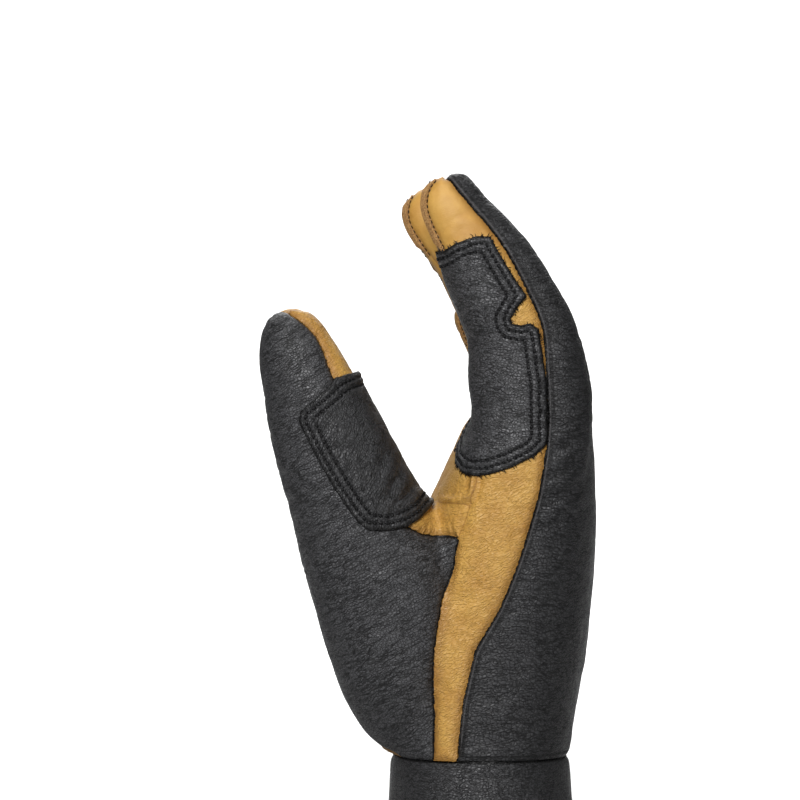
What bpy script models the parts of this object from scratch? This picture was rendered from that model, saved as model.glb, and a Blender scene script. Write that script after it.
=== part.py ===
"""A padded leather ski glove for the right hand, standing on its open cuff.

The back of the hand faces +X, the palm faces -X, the thumb and index finger are on the
-Y side and the fingers point up, +Z. Sizes are in metres. The skin of the glove is lofted
through short tables of sections, one for each finger, one for the thumb and one for the
hand, and is then parted along its seams into leather panels with a real wall.
"""
import math
from collections import defaultdict, namedtuple

import bmesh
import bpy
import numpy as np
from mathutils.bvhtree import BVHTree

# Driving sizes of the hand
HAND_HEIGHT = 0.186
HAND_DEPTH = 0.060
HAND_WIDTH = 0.104
CUFF_TOP = 0.074

# Driving sizes of the fingers and the thumb
KNUCKLE_RISE = 0.003
FINGER_BASE = HAND_HEIGHT + KNUCKLE_RISE
FINGER_DEPTH = 0.0376
FINGER_SPLAY = math.radians(3.2)
WEB_BLEND = 0.012
WEB_STEEPNESS = 9.0
CURL_DROP = 0.5
FINGER_SQUARE = 2.25
THUMB_SQUARE = 2.15
THUMB_RISE = 0.0328
THUMB_TIP = HAND_HEIGHT + THUMB_RISE
THUMB_LENGTH = 0.150
THUMB_DEPTH = 0.052
THUMB_WIDTH = 0.048

# Leather
WALL = 0.0024
SEAM_GAP = 0.0003
PATCH_THICKNESS = 0.0011
PATCH_CLEARANCE = 0.0003
WELT_DIAMETER = 0.0022
WELT_CLEARANCE = 0.0005
WELT_START, WELT_END = 0.69, 0.895
WELT_SIDE = 0.53
WELT_POINTS = 12

# Fineness of the solids
VOXEL = 0.0016
SKIN_TRIANGLES = 2740
SMOOTH_ROUNDS = 12
NORMAL_ROUNDS = 3
RING_POINTS = 36
LOFT_STEPS = 4
BISECTIONS = 18
CUT_MARGIN = 0.08
HEM_TOLERANCE = 1e-5

Finger = namedtuple("Finger", "name side base_x base_drop length width curl")
# side and base_x are shares of the hand's width and depth, base_drop of its height
FINGERS = (
    Finger("index", -0.375, 0.175, 0.000, 0.0786, 0.0250, 0.00),
    Finger("middle", -0.125, 0.205, 0.003, 0.0800, 0.0248, 0.135),
    Finger("ring", 0.123, 0.190, 0.012, 0.0710, 0.0242, 0.06),
    Finger("little", 0.356, 0.225, 0.088, 0.0590, 0.0226, 0.02),
)

FingerRow = namedtuple("FingerRow", "forward up tilt depth width back_seam palm_seam")
# forward and up are shares of the finger's length, depth and width of its own sizes,
# and the seams are shares of the half depth there, towards the back of the hand
FINGER_ROWS = (
    FingerRow(-0.020, -0.450, 0.0, 0.70, 0.80, 0.22, -0.86),
    FingerRow(-0.008, -0.200, 1.0, 0.93, 0.95, 0.24, -0.86),
    FingerRow(0.000, 0.000, 3.0, 1.00, 1.00, 0.25, -0.86),
    FingerRow(0.016, 0.142, 6.0, 0.97, 0.97, 0.30, -0.86),
    FingerRow(0.036, 0.292, 12.0, 0.885, 0.95, 0.36, -0.86),
    FingerRow(0.105, 0.444, 22.0, 0.80, 0.92, 0.42, -0.86),
    FingerRow(0.174, 0.571, 26.0, 0.745, 0.89, 0.46, -0.86),
    FingerRow(0.237, 0.669, 30.0, 0.655, 0.85, 0.50, -0.87),
    FingerRow(0.302, 0.760, 31.0, 0.566, 0.78, 0.50, -0.87),
    FingerRow(0.346, 0.831, 28.0, 0.475, 0.70, 0.42, -0.78),
    FingerRow(0.366, 0.884, 24.0, 0.350, 0.54, 0.20, -0.50),
    FingerRow(0.374, 0.912, 20.0, 0.160, 0.24, 0.00, 0.00),
)

HandRow = namedtuple("HandRow", "height palm back near far square")
# height is a share of the hand's height, palm and back of its depth, near and far of its
# width; square is 2 for an ellipse and more for a flatter outline
HAND_ROWS = (
    HandRow(-0.060, -0.675, 0.540, -0.455, 0.455, 2.2),
    HandRow(0.000, -0.660, 0.530, -0.450, 0.450, 2.2),
    HandRow(0.120, -0.640, 0.495, -0.435, 0.435, 2.2),
    HandRow(0.270, -0.605, 0.430, -0.395, 0.400, 2.3),
    HandRow(0.385, -0.590, 0.400, -0.375, 0.380, 2.3),
    HandRow(0.480, -0.620, 0.430, -0.390, 0.395, 2.4),
    HandRow(0.590, -0.610, 0.488, -0.415, 0.425, 2.5),
    HandRow(0.680, -0.535, 0.515, -0.440, 0.445, 2.6),
    HandRow(0.780, -0.440, 0.530, -0.468, 0.465, 2.8),
    HandRow(0.845, -0.368, 0.530, -0.482, 0.475, 3.0),
    HandRow(0.890, -0.300, 0.525, -0.490, 0.478, 3.2),
    HandRow(0.940, -0.230, 0.515, -0.492, 0.478, 3.4),
    HandRow(0.975, -0.180, 0.500, -0.490, 0.465, 3.4),
    HandRow(1.000, -0.120, 0.450, -0.470, 0.440, 3.2),
)

ThumbRow = namedtuple("ThumbRow", "x drop tilt depth side width")
# x and side are shares of the hand's depth and width, drop is measured below the tip and
# is a share of the thumb's length, depth and width are shares of the thumb's own sizes
THUMB_ROWS = (
    ThumbRow(-1.120, 0.002, 4.0, 0.080, -0.345, 0.09),
    ThumbRow(-1.122, 0.009, 6.0, 0.200, -0.346, 0.24),
    ThumbRow(-1.115, 0.030, 12.0, 0.340, -0.348, 0.40),
    ThumbRow(-1.088, 0.080, 19.0, 0.469, -0.350, 0.50),
    ThumbRow(-1.032, 0.146, 19.5, 0.556, -0.348, 0.57),
    ThumbRow(-0.982, 0.210, 19.0, 0.625, -0.345, 0.62),
    ThumbRow(-0.902, 0.294, 19.5, 0.692, -0.338, 0.68),
    ThumbRow(-0.833, 0.368, 19.5, 0.737, -0.328, 0.74),
    ThumbRow(-0.780, 0.418, 19.0, 0.788, -0.315, 0.80),
    ThumbRow(-0.709, 0.480, 20.0, 0.880, -0.292, 0.88),
    ThumbRow(-0.621, 0.563, 20.0, 0.938, -0.262, 0.95),
    ThumbRow(-0.520, 0.665, 20.0, 1.000, -0.225, 1.00),
    ThumbRow(-0.435, 0.780, 20.0, 0.960, -0.180, 0.98),
    ThumbRow(-0.365, 0.880, 18.0, 0.800, -0.130, 0.85),
    ThumbRow(-0.290, 0.970, 15.0, 0.500, -0.080, 0.60),
)

SeamRow = namedtuple("SeamRow", "height x")
# Seams as seen from the thumb side: heights as shares of the hand's height, x of its depth
BACK_SEAM_NEAR = (
    SeamRow(0.380, -0.240), SeamRow(0.500, -0.195), SeamRow(0.590, -0.130),
    SeamRow(0.625, -0.065), SeamRow(0.660, 0.000), SeamRow(0.700, 0.053),
    SeamRow(0.745, 0.106), SeamRow(0.790, 0.150), SeamRow(0.860, 0.212),
    SeamRow(0.940, 0.249), SeamRow(1.000, 0.257),
)
BACK_SEAM_FAR = (
    SeamRow(0.380, -0.080), SeamRow(0.600, 0.020), SeamRow(0.800, 0.140), SeamRow(0.930, 0.200),
)
SIDE_SEAM = (
    SeamRow(0.380, -0.400), SeamRow(0.784, -0.400), SeamRow(0.785, -0.228),
    SeamRow(0.825, -0.186), SeamRow(0.850, -0.162), SeamRow(0.872, -0.138),
    SeamRow(0.890, -0.133), SeamRow(0.935, -0.112), SeamRow(0.990, -0.100),
)
THUMB_FRONT_EDGE = (
    SeamRow(0.700, -0.233), SeamRow(0.784, -0.228), SeamRow(0.815, -0.192),
    SeamRow(0.847, -0.162), SeamRow(0.858, -0.330), SeamRow(1.200, -0.340),
)
THUMB_SEAM = (
    SeamRow(0.380, -0.370), SeamRow(0.500, -0.355), SeamRow(0.594, -0.340),
    SeamRow(0.635, -0.318), SeamRow(0.681, -0.292), SeamRow(0.729, -0.260),
    SeamRow(0.774, -0.244), SeamRow(0.784, -0.236), SeamRow(0.789, -0.302),
    SeamRow(0.793, -0.393), SeamRow(0.805, -0.483), SeamRow(0.824, -0.557),
    SeamRow(0.884, -0.663), SeamRow(0.969, -0.796), SeamRow(1.053, -0.870),
    SeamRow(1.080, -0.908), SeamRow(1.106, -0.934), SeamRow(1.132, -0.977),
    SeamRow(1.149, -1.030), SeamRow(1.163, -1.088), SeamRow(1.173, -1.162), SeamRow(1.200, -1.180),
)
THUMB_NEAR_SIDE = (
    SeamRow(0.380, -0.290), SeamRow(0.500, -0.370), SeamRow(0.600, -0.435),
    SeamRow(0.700, -0.465), SeamRow(0.800, -0.470), SeamRow(1.200, -0.450),
)
THUMB_SEAM_TURN = 0.90
THUMB_ROOT_HEIGHT = 0.800
THUMB_ROOT_SLOPE = 0.360
THUMB_FRONT_REACH = -0.120
FORK_BASE = 0.860
INDEX_SIDE_SPLIT = 0.930
FINGER_SPLIT = 0.003

OutlineRow = namedtuple("OutlineRow", "height x")
# Patches as seen from the thumb side, in the shares of the seams; each is open towards
# the edge of the finger or thumb that it wraps round
INDEX_PATCH = (
    OutlineRow(1.270, -0.420), OutlineRow(1.273, -0.290), OutlineRow(1.286, -0.230),
    OutlineRow(1.297, -0.130), OutlineRow(1.296, -0.042), OutlineRow(1.279, -0.005),
    OutlineRow(1.226, 0.095), OutlineRow(1.196, 0.146), OutlineRow(1.185, 0.106),
    OutlineRow(1.171, 0.069), OutlineRow(1.159, 0.048), OutlineRow(1.149, 0.058),
    OutlineRow(1.146, 0.106), OutlineRow(1.149, 0.154), OutlineRow(1.140, 0.200),
    OutlineRow(1.100, 0.222), OutlineRow(1.050, 0.244), OutlineRow(0.960, 0.248),
    OutlineRow(0.945, 0.240), OutlineRow(0.926, 0.170), OutlineRow(0.907, 0.053),
    OutlineRow(0.895, -0.058), OutlineRow(0.892, -0.138), OutlineRow(0.897, -0.191),
    OutlineRow(0.913, -0.223), OutlineRow(0.930, -0.400), OutlineRow(1.000, -0.500),
)
THUMB_PATCH = (
    OutlineRow(1.068, -0.700), OutlineRow(1.067, -0.748), OutlineRow(1.061, -0.817),
    OutlineRow(1.053, -0.870), OutlineRow(1.034, -0.929), OutlineRow(1.000, -1.050),
    OutlineRow(0.985, -1.056), OutlineRow(0.955, -1.014), OutlineRow(0.914, -0.950),
    OutlineRow(0.870, -0.870), OutlineRow(0.834, -0.796), OutlineRow(0.812, -0.743),
    OutlineRow(0.801, -0.700), OutlineRow(0.800, -0.584), OutlineRow(0.807, -0.504),
    OutlineRow(0.820, -0.430), OutlineRow(0.843, -0.360), OutlineRow(0.900, -0.360),
    OutlineRow(1.000, -0.480),
)
INDEX_PATCH_REACH = 0.085
THUMB_PATCH_REACH = 0.100

LEATHER_BLACK = ("black_leather", (0.022, 0.022, 0.024, 1.0), 0.48)
LEATHER_TAN = ("tan_leather", (0.58, 0.36, 0.09, 1.0), 0.52)
LEATHER_EDGE = ("raw_edge", (0.42, 0.22, 0.08, 1.0), 0.75)

PANELS = (
    ("back_panel", LEATHER_BLACK), ("palm_panel", LEATHER_TAN), ("index_side_panel", LEATHER_TAN),
    ("thumb_panel", LEATHER_BLACK), ("thumb_front_panel", LEATHER_TAN), ("cuff", LEATHER_BLACK),
    ("fourchette_1", LEATHER_TAN), ("fourchette_2", LEATHER_TAN), ("fourchette_3", LEATHER_TAN),
    *((finger.name + "_back", LEATHER_BLACK) for finger in FINGERS),
    *((finger.name + "_front", LEATHER_TAN) for finger in FINGERS),
)
PANEL_NUMBER = {name: number for number, (name, _) in enumerate(PANELS)}


def spline(knots, values, places):
    """A smooth curve through the values at the knots, read at the places."""
    knots = np.asarray(knots, float)
    values = np.asarray(values, float)
    slopes = np.gradient(values, knots)
    cell = np.clip(np.searchsorted(knots, places) - 1, 0, len(knots) - 2)
    span = knots[cell + 1] - knots[cell]
    t = np.clip((places - knots[cell]) / span, 0.0, 1.0)
    rise = values[cell + 1] - values[cell]
    start, end = slopes[cell] * span, slopes[cell + 1] * span
    return (values[cell] + t * start + t * t * (3 * rise - 2 * start - end)
            + t ** 3 * (start + end - 2 * rise))


def resample(rows):
    """The section table with LOFT_STEPS smooth steps between each two rows."""
    table = np.array(rows, float)
    knots = np.arange(len(rows))
    places = np.linspace(0, len(rows) - 1, (len(rows) - 1) * LOFT_STEPS + 1)
    return np.column_stack([spline(knots, column, places) for column in table.T])


def ring(centre, tilt, half_depth, half_width, square):
    """One closed section: depth in the XZ plane, tipped back by tilt, width along Y."""
    turn = np.linspace(0, 2 * math.pi, RING_POINTS, endpoint=False)
    deep = np.sign(np.cos(turn)) * np.abs(np.cos(turn)) ** (2 / square) * half_depth
    wide = np.sign(np.sin(turn)) * np.abs(np.sin(turn)) ** (2 / square) * half_width
    return np.column_stack([centre[0] + deep * math.cos(tilt), centre[1] + wide,
                            centre[2] + deep * math.sin(tilt)])


def add_loft(mesh, rings):
    """Adds one closed tube through the rings, with flat ends."""
    rows = [[mesh.verts.new(point) for point in one] for one in rings]
    for low, high in zip(rows, rows[1:]):
        for i in range(RING_POINTS):
            j = (i + 1) % RING_POINTS
            mesh.faces.new((low[i], low[j], high[j], high[i]))
    mesh.faces.new(rows[0][::-1])
    mesh.faces.new(rows[-1])


def finger_line(finger):
    """Centre, tilt, half depth and half width of each section of a finger, as arrays."""
    rows = [row[:5] for row in FINGER_ROWS]
    forward, up, tilt, depth, width = resample(rows).T
    bend = finger.curl * np.clip(up, 0, None) ** 2
    x = finger.base_x * HAND_DEPTH - (forward + bend) * finger.length
    z = FINGER_BASE - finger.base_drop * HAND_HEIGHT + (up - CURL_DROP * bend) * finger.length
    splay = math.tan(FINGER_SPLAY) * finger.side / abs(FINGERS[0].side)
    y = finger.side * HAND_WIDTH + splay * up * finger.length
    lean = np.radians(tilt) + np.arctan(2 * finger.curl * np.clip(up, 0, None))
    size = 0.5 * FINGER_DEPTH * finger.width / FINGERS[0].width
    return x, y, z, lean, depth * size, width * 0.5 * finger.width


def finger_seams(finger):
    """Heights and x of the back seam and the palm seam of a finger, and of its middle."""
    x, y, z, lean, depth, _ = finger_line(finger)
    shares = resample([row[5:] for row in FINGER_ROWS]).T
    lines = []
    for share in shares:
        order = np.argsort(z + share * depth * np.sin(lean))
        lines.append(((z + share * depth * np.sin(lean))[order],
                      (x + share * depth * np.cos(lean))[order]))
    return lines[0], lines[1], (z, y)


def add_fingers(mesh):
    """Lofts the four fingers, each with its root inside the hand."""
    for finger in FINGERS:
        x, y, z, lean, depth, width = finger_line(finger)
        add_loft(mesh, [ring((x[i], y[i], z[i]), lean[i], depth[i], width[i],
                             FINGER_SQUARE)
                        for i in range(len(x))])


def add_thumb(mesh):
    """Lofts the thumb from its root in the hand up to its tip."""
    x, drop, tilt, depth, side, width = resample(THUMB_ROWS[::-1]).T
    z = THUMB_TIP - drop * THUMB_LENGTH
    add_loft(mesh, [ring((x[i] * HAND_DEPTH, side[i] * HAND_WIDTH, z[i]), math.radians(tilt[i]),
                         0.5 * depth[i] * THUMB_DEPTH, 0.5 * width[i] * THUMB_WIDTH,
                         THUMB_SQUARE) for i in range(len(x))])


def add_hand(mesh):
    """Lofts the hand and the cuff; the lowest section lies below the hem and is cut off."""
    height, palm, back, near, far, square = resample(HAND_ROWS).T
    rings = []
    for i in range(len(height)):
        centre = (0.5 * (palm[i] + back[i]) * HAND_DEPTH, 0.5 * (near[i] + far[i]) * HAND_WIDTH,
                  height[i] * HAND_HEIGHT)
        rings.append(ring(centre, 0.0, 0.5 * (back[i] - palm[i]) * HAND_DEPTH,
                          0.5 * (far[i] - near[i]) * HAND_WIDTH, square[i]))
    add_loft(mesh, rings)


def modified(obj, modifiers):
    """The object's mesh after the modifiers, given as pairs of type and settings."""
    for kind, settings in modifiers:
        modifier = obj.modifiers.new(kind.lower(), kind)
        for name, value in settings.items():
            setattr(modifier, name, value)
    graph = bpy.context.evaluated_depsgraph_get()
    mesh = bpy.data.meshes.new_from_object(obj.evaluated_get(graph))
    obj.modifiers.clear()
    return mesh


def make_skin():
    """Points, unit normals and triangles of the glove's outer skin, open at the hem."""
    shape = bmesh.new()
    add_hand(shape)
    add_thumb(shape)
    add_fingers(shape)
    bmesh.ops.recalc_face_normals(shape, faces=shape.faces[:])
    mesh = bpy.data.meshes.new("skin")
    shape.to_mesh(mesh)
    shape.free()
    guide = bpy.data.objects.new("skin", mesh)
    bpy.context.scene.collection.objects.link(guide)
    fine = modified(guide, [("REMESH", {"mode": "VOXEL", "voxel_size": VOXEL}),
                            ("SMOOTH", {"factor": 0.5, "iterations": SMOOTH_ROUNDS})])
    guide.data = fine
    fine_count = 2 * len(fine.polygons)
    coarse = modified(guide, [("DECIMATE", {"ratio": SKIN_TRIANGLES / fine_count})])
    bpy.data.objects.remove(guide)
    skin = bmesh.new()
    skin.from_mesh(coarse)
    bmesh.ops.bisect_plane(skin, geom=skin.verts[:] + skin.edges[:] + skin.faces[:],
                           dist=0.1 * HEM_TOLERANCE, plane_co=(0, 0, 0), plane_no=(0, 0, 1), clear_inner=True)
    bmesh.ops.triangulate(skin, faces=skin.faces[:])
    skin.normal_update()
    skin.verts.index_update()
    points = np.array([vert.co for vert in skin.verts])
    normals = np.array([vert.normal for vert in skin.verts])
    triangles = np.array([[vert.index for vert in face.verts] for face in skin.faces])
    skin.free()
    _, kind, count = np.unique(np.sort(triangles, axis=1), axis=0, return_inverse=True,
                               return_counts=True)
    used, triangles = np.unique(triangles[count[kind.ravel()] == 1], return_inverse=True)
    triangles = triangles.reshape(-1, 3)
    points, normals = points[used], normals[used]
    hem = points[:, 2] < HEM_TOLERANCE
    points[hem, 2] = 0
    for _ in range(NORMAL_ROUNDS):
        around = np.zeros_like(normals)
        for a, b in ((0, 1), (1, 2), (2, 0)):
            np.add.at(around, triangles[:, a], normals[triangles[:, b]])
            np.add.at(around, triangles[:, b], normals[triangles[:, a]])
        around /= np.linalg.norm(around, axis=1)[:, None]
        normals = normals + around
        normals[hem, 2] = 0
        normals /= np.linalg.norm(normals, axis=1)[:, None]
    return points, normals, triangles


def seam_x(rows, z):
    """x of a seam of the hand at the heights z."""
    table = np.array(rows)
    return np.interp(z, table[:, 0] * HAND_HEIGHT, table[:, 1] * HAND_DEPTH)


class Seams:
    """The seams of the fingers, read once from the tables."""

    def __init__(self):
        self.back, self.palm, self.middle = [], [], []
        for finger in FINGERS:
            back, palm, middle = finger_seams(finger)
            self.back.append(back)
            self.palm.append(palm)
            self.middle.append(middle)

    def middles(self, z):
        """y of the middle of each finger at the heights z."""
        return [np.interp(z, heights, sides) for heights, sides in self.middle]

    def across(self, lines, near, far, y, z):
        """x of a seam surface that runs from finger to finger, and down along the hand."""
        middles = self.middles(z)
        spots = []
        for number, (heights, places) in enumerate(lines):
            share = number / (len(lines) - 1)
            low = (1 - share) * seam_x(near, z) + share * seam_x(far, z)
            start = FINGER_BASE - WEB_BLEND - FINGERS[number].base_drop * HAND_HEIGHT
            mix = np.clip((z - start) / WEB_BLEND, 0, 1)
            spots.append((1 - mix) * low + mix * np.interp(z, heights, places))
        x = np.array(spots[0])
        steepness = 1 + WEB_STEEPNESS * np.clip((z - FINGER_BASE) / WEB_BLEND, 0, 1)
        for k in range(len(lines) - 1):
            t = (y - middles[k]) / (middles[k + 1] - middles[k])
            t = np.clip(0.5 + (t - 0.5) * steepness, 0, 1)
            x = np.where(y > middles[k], (1 - t) * spots[k] + t * spots[k + 1], x)
        return x


def panel_labels(seams, points):
    """The panel that each point of the skin belongs to."""
    x, y, z = points.T
    back = x > seams.across(seams.back, BACK_SEAM_NEAR, BACK_SEAM_FAR, y, z)
    side = x > seams.across(seams.palm, SIDE_SEAM, SIDE_SEAM, y, z)
    near_side = seam_x(THUMB_NEAR_SIDE, z) * HAND_WIDTH / HAND_DEPTH
    thumb = x < seam_x(THUMB_SEAM, z) - THUMB_SEAM_TURN * (y - near_side)
    root = z - THUMB_ROOT_HEIGHT * HAND_HEIGHT + THUMB_ROOT_SLOPE * (-x + seam_x(THUMB_FRONT_EDGE, z))
    inner_thumb = (x < seam_x(THUMB_FRONT_EDGE, z)) & (root > 0) & (y < THUMB_FRONT_REACH * HAND_WIDTH)
    inner_thumb &= z < THUMB_TIP
    middles = seams.middles(z)
    finger = sum((y > 0.5 * (low + high)).astype(int) for low, high in zip(middles, middles[1:]))
    above = z > FINGER_BASE + FINGER_SPLIT
    label = np.where(above, PANEL_NUMBER["index_front"] + finger, PANEL_NUMBER["palm_panel"])
    for k in range(len(FINGERS) - 1):
        gap = side & (z > FORK_BASE * HAND_HEIGHT) & (y > middles[k]) & (y < middles[k + 1])
        label[gap] = PANEL_NUMBER["fourchette_%d" % (k + 1)]
    near_split = np.where(z > INDEX_SIDE_SPLIT * HAND_HEIGHT, middles[0], 0.0)
    label[side & (y < near_split)] = PANEL_NUMBER["index_side_panel"]
    label[inner_thumb] = PANEL_NUMBER["thumb_front_panel"]
    label[back] = np.where(above, PANEL_NUMBER["index_back"] + finger, PANEL_NUMBER["back_panel"])[back]
    label[thumb] = PANEL_NUMBER["thumb_panel"]
    label[z < CUFF_TOP] = PANEL_NUMBER["cuff"]
    return label


def inside_outline(rows, points):
    """Whether each point lies inside an outline drawn from the thumb side."""
    outline = np.array(rows) * (HAND_HEIGHT, HAND_DEPTH)
    z, x = points[:, 2], points[:, 0]
    inside = np.zeros(len(points), bool)
    for (z0, x0), (z1, x1) in zip(outline, np.roll(outline, -1, axis=0)):
        crosses = (z0 > z) != (z1 > z)
        with np.errstate(divide="ignore", invalid="ignore"):
            at = x0 + (z - z0) * (x1 - x0) / (z1 - z0)
        inside ^= crosses & (x < at)
    return inside


def index_patch_labels(seams, points):
    """1 where the index patch lies."""
    reach = seams.middles(points[:, 2])[0] + INDEX_PATCH_REACH * HAND_WIDTH
    return (inside_outline(INDEX_PATCH, points) & (points[:, 1] < reach)).astype(int)


def thumb_patch_labels(seams, points):
    """1 where the thumb patch lies."""
    middle = np.interp(THUMB_TIP - points[:, 2], [row.drop * THUMB_LENGTH for row in THUMB_ROWS],
                       [row.side * HAND_WIDTH for row in THUMB_ROWS])
    reach = middle + THUMB_PATCH_REACH * HAND_WIDTH
    return (inside_outline(THUMB_PATCH, points) & (points[:, 1] < reach)).astype(int)


def keep_largest(triangles, labels):
    """Gives each stray island of a label to the label round it."""
    by_edge = defaultdict(list)
    for number, triangle in enumerate(triangles):
        for a, b in zip(triangle, np.roll(triangle, -1)):
            by_edge[(min(a, b), max(a, b))].append(number)
    near = defaultdict(list)
    for pair in by_edge.values():
        if len(pair) == 2:
            near[pair[0]].append(pair[1])
            near[pair[1]].append(pair[0])
    group = np.full(len(triangles), -1)
    groups = []
    for start in range(len(triangles)):
        if group[start] >= 0:
            continue
        group[start] = len(groups)
        members = [start]
        for member in members:
            for other in near[member]:
                if group[other] < 0 and labels[other] == labels[start]:
                    group[other] = len(groups)
                    members.append(other)
        groups.append(members)
    largest = {}
    for members in groups:
        label = labels[members[0]]
        if label not in largest or len(members) > len(largest[label]):
            largest[label] = members
    labels = labels.copy()
    for members in sorted(groups, key=len):
        if members is largest[labels[members[0]]]:
            continue
        around = [labels[other] for member in members for other in near[member]
                  if labels[other] != labels[member]]
        if around:
            labels[members] = max(set(around), key=around.count)
    return labels


def part_skin(points, normals, triangles, rule):
    """Cuts the skin along the lines where the rule's label changes; labels each triangle."""
    labels = rule(points)
    edges = np.unique(np.sort(np.concatenate([triangles[:, [0, 1]], triangles[:, [1, 2]],
                                              triangles[:, [2, 0]]]), axis=1), axis=0)
    crossed = edges[labels[edges[:, 0]] != labels[edges[:, 1]]]
    low, high = np.zeros(len(crossed)), np.ones(len(crossed))
    start, end = points[crossed[:, 0]], points[crossed[:, 1]]
    for _ in range(BISECTIONS):
        middle = 0.5 * (low + high)
        same = rule(start + (end - start) * middle[:, None]) == labels[crossed[:, 0]]
        low, high = np.where(same, middle, low), np.where(same, high, middle)
    share = np.clip(0.5 * (low + high), CUT_MARGIN, 1 - CUT_MARGIN)[:, None]
    cut_points = start + (end - start) * share
    cut_normals = normals[crossed[:, 0]] * (1 - share) + normals[crossed[:, 1]] * share
    cut = {tuple(edge): len(points) + number for number, edge in enumerate(crossed)}
    points = list(points) + list(cut_points)
    normals = list(normals) + list(cut_normals)
    pieces, names = [], []

    def add(label, *corners):
        for k in range(1, len(corners) - 1):
            pieces.append((corners[0], corners[k], corners[k + 1]))
            names.append(label)

    def between(a, b):
        return cut[(min(a, b), max(a, b))]

    for a, b, c in triangles:
        kinds = labels[a], labels[b], labels[c]
        if kinds[0] == kinds[1] == kinds[2]:
            add(kinds[0], a, b, c)
        elif len(set(kinds)) == 3:
            centre = len(points)
            points.append((points[a] + points[b] + points[c]) / 3)
            normals.append(normals[a] + normals[b] + normals[c])
            for one, two, three in ((a, b, c), (b, c, a), (c, a, b)):
                add(labels[one], one, between(one, two), centre, between(one, three))
        else:
            while labels[b] == labels[a] or labels[c] == labels[a]:
                a, b, c = b, c, a
            add(labels[a], a, between(a, b), between(a, c))
            add(labels[b], between(a, b), b, c, between(a, c))
    normals = np.array(normals)
    normals /= np.linalg.norm(normals, axis=1)[:, None]
    pieces = np.array(pieces)
    return np.array(points), normals, pieces, keep_largest(pieces, np.array(names))


def wall_mesh(points, normals, triangles, inner, outer, inset):
    """A closed wall over the triangles, from the inner to the outer offset of the skin."""
    shape = bmesh.new()
    used = {}
    for number in np.unique(triangles):
        used[number] = shape.verts.new(points[number])
    order = {vert: number for number, vert in used.items()}
    for triangle in triangles:
        shape.faces.new([used[number] for number in triangle])
    pinched = [vert for vert in shape.verts if sum(edge.is_boundary for edge in vert.link_edges) > 2]
    source = {vert: order[vert] for vert in shape.verts}
    for vert in pinched:
        number = source[vert]
        for new in bmesh.utils.vert_separate(vert, [e for e in vert.link_edges if e.is_boundary]):
            source[new] = number
    shape.verts.ensure_lookup_table()
    moves = {}
    for vert in shape.verts:
        move = np.zeros(3)
        for edge in vert.link_edges:
            if not edge.is_boundary:
                continue
            face = edge.link_faces[0]
            along = np.array(edge.verts[1].co - edge.verts[0].co)
            inward = np.cross(normals[source[vert]], along)
            inside = np.array(face.calc_center_median()) - np.array(edge.verts[0].co)
            inward *= np.sign(inward @ inside) / max(np.linalg.norm(inward), 1e-9)
            move += inward
        size = np.linalg.norm(move)
        moves[vert] = move / size * inset if size > 1e-9 else move
    below = {}
    loops = [[loop.vert for loop in face.loops] for face in shape.faces]
    rims = [(edge.link_loops[0].vert, edge.link_loops[0].link_loop_next.vert)
            for edge in shape.edges if edge.is_boundary]
    for vert in list(shape.verts):
        base = points[source[vert]] + (moves[vert] if points[source[vert]][2] > HEM_TOLERANCE else 0)
        vert.co = base + normals[source[vert]] * outer
        below[vert] = shape.verts.new(base + normals[source[vert]] * inner)
    for corners in loops:
        shape.faces.new([below[vert] for vert in reversed(corners)])
    for first, second in rims:
        if source[first] < source[second]:
            corners = (second, first, below[second]), (first, below[first], below[second])
        else:
            corners = (second, first, below[first]), (second, below[first], below[second])
        for triangle in corners:
            shape.faces.new(triangle)
    return shape


def leather(finish):
    """One material of the glove, made once."""
    name, colour, roughness = finish
    material = bpy.data.materials.get(name)
    if material is None:
        material = bpy.data.materials.new(name)
        material.use_nodes = True
        shader = material.node_tree.nodes["Principled BSDF"]
        shader.inputs["Base Color"].default_value = colour
        shader.inputs["Roughness"].default_value = roughness
        shader.inputs["Metallic"].default_value = 0.0
    return material


def add_piece(collection, name, shape, finish):
    """Puts a finished piece into the collection."""
    mesh = bpy.data.meshes.new(name)
    shape.to_mesh(mesh)
    shape.free()
    mesh.materials.append(leather(finish))
    piece = bpy.data.objects.new(name, mesh)
    collection.objects.link(piece)
    return piece


def add_panels(collection, skin, seams):
    """The leather panels of the hand, fingers and thumb."""
    points, normals, triangles, labels = part_skin(*skin, lambda p: panel_labels(seams, p))
    for name, finish in PANELS:
        own = triangles[labels == PANEL_NUMBER[name]]
        shape = wall_mesh(points, normals, own, -WALL, 0.0, 0.5 * SEAM_GAP)
        add_piece(collection, name, shape, finish)


def add_patches(collection, skin, seams):
    """The two patches, laid on the skin."""
    for name, rule in (("index_patch", index_patch_labels), ("thumb_patch", thumb_patch_labels)):
        points, normals, triangles, labels = part_skin(*skin, lambda p: rule(seams, p))
        shape = wall_mesh(points, normals, triangles[labels == 1], PATCH_CLEARANCE,
                          PATCH_CLEARANCE + PATCH_THICKNESS, 0.0)
        add_piece(collection, name, shape, LEATHER_BLACK)


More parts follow.
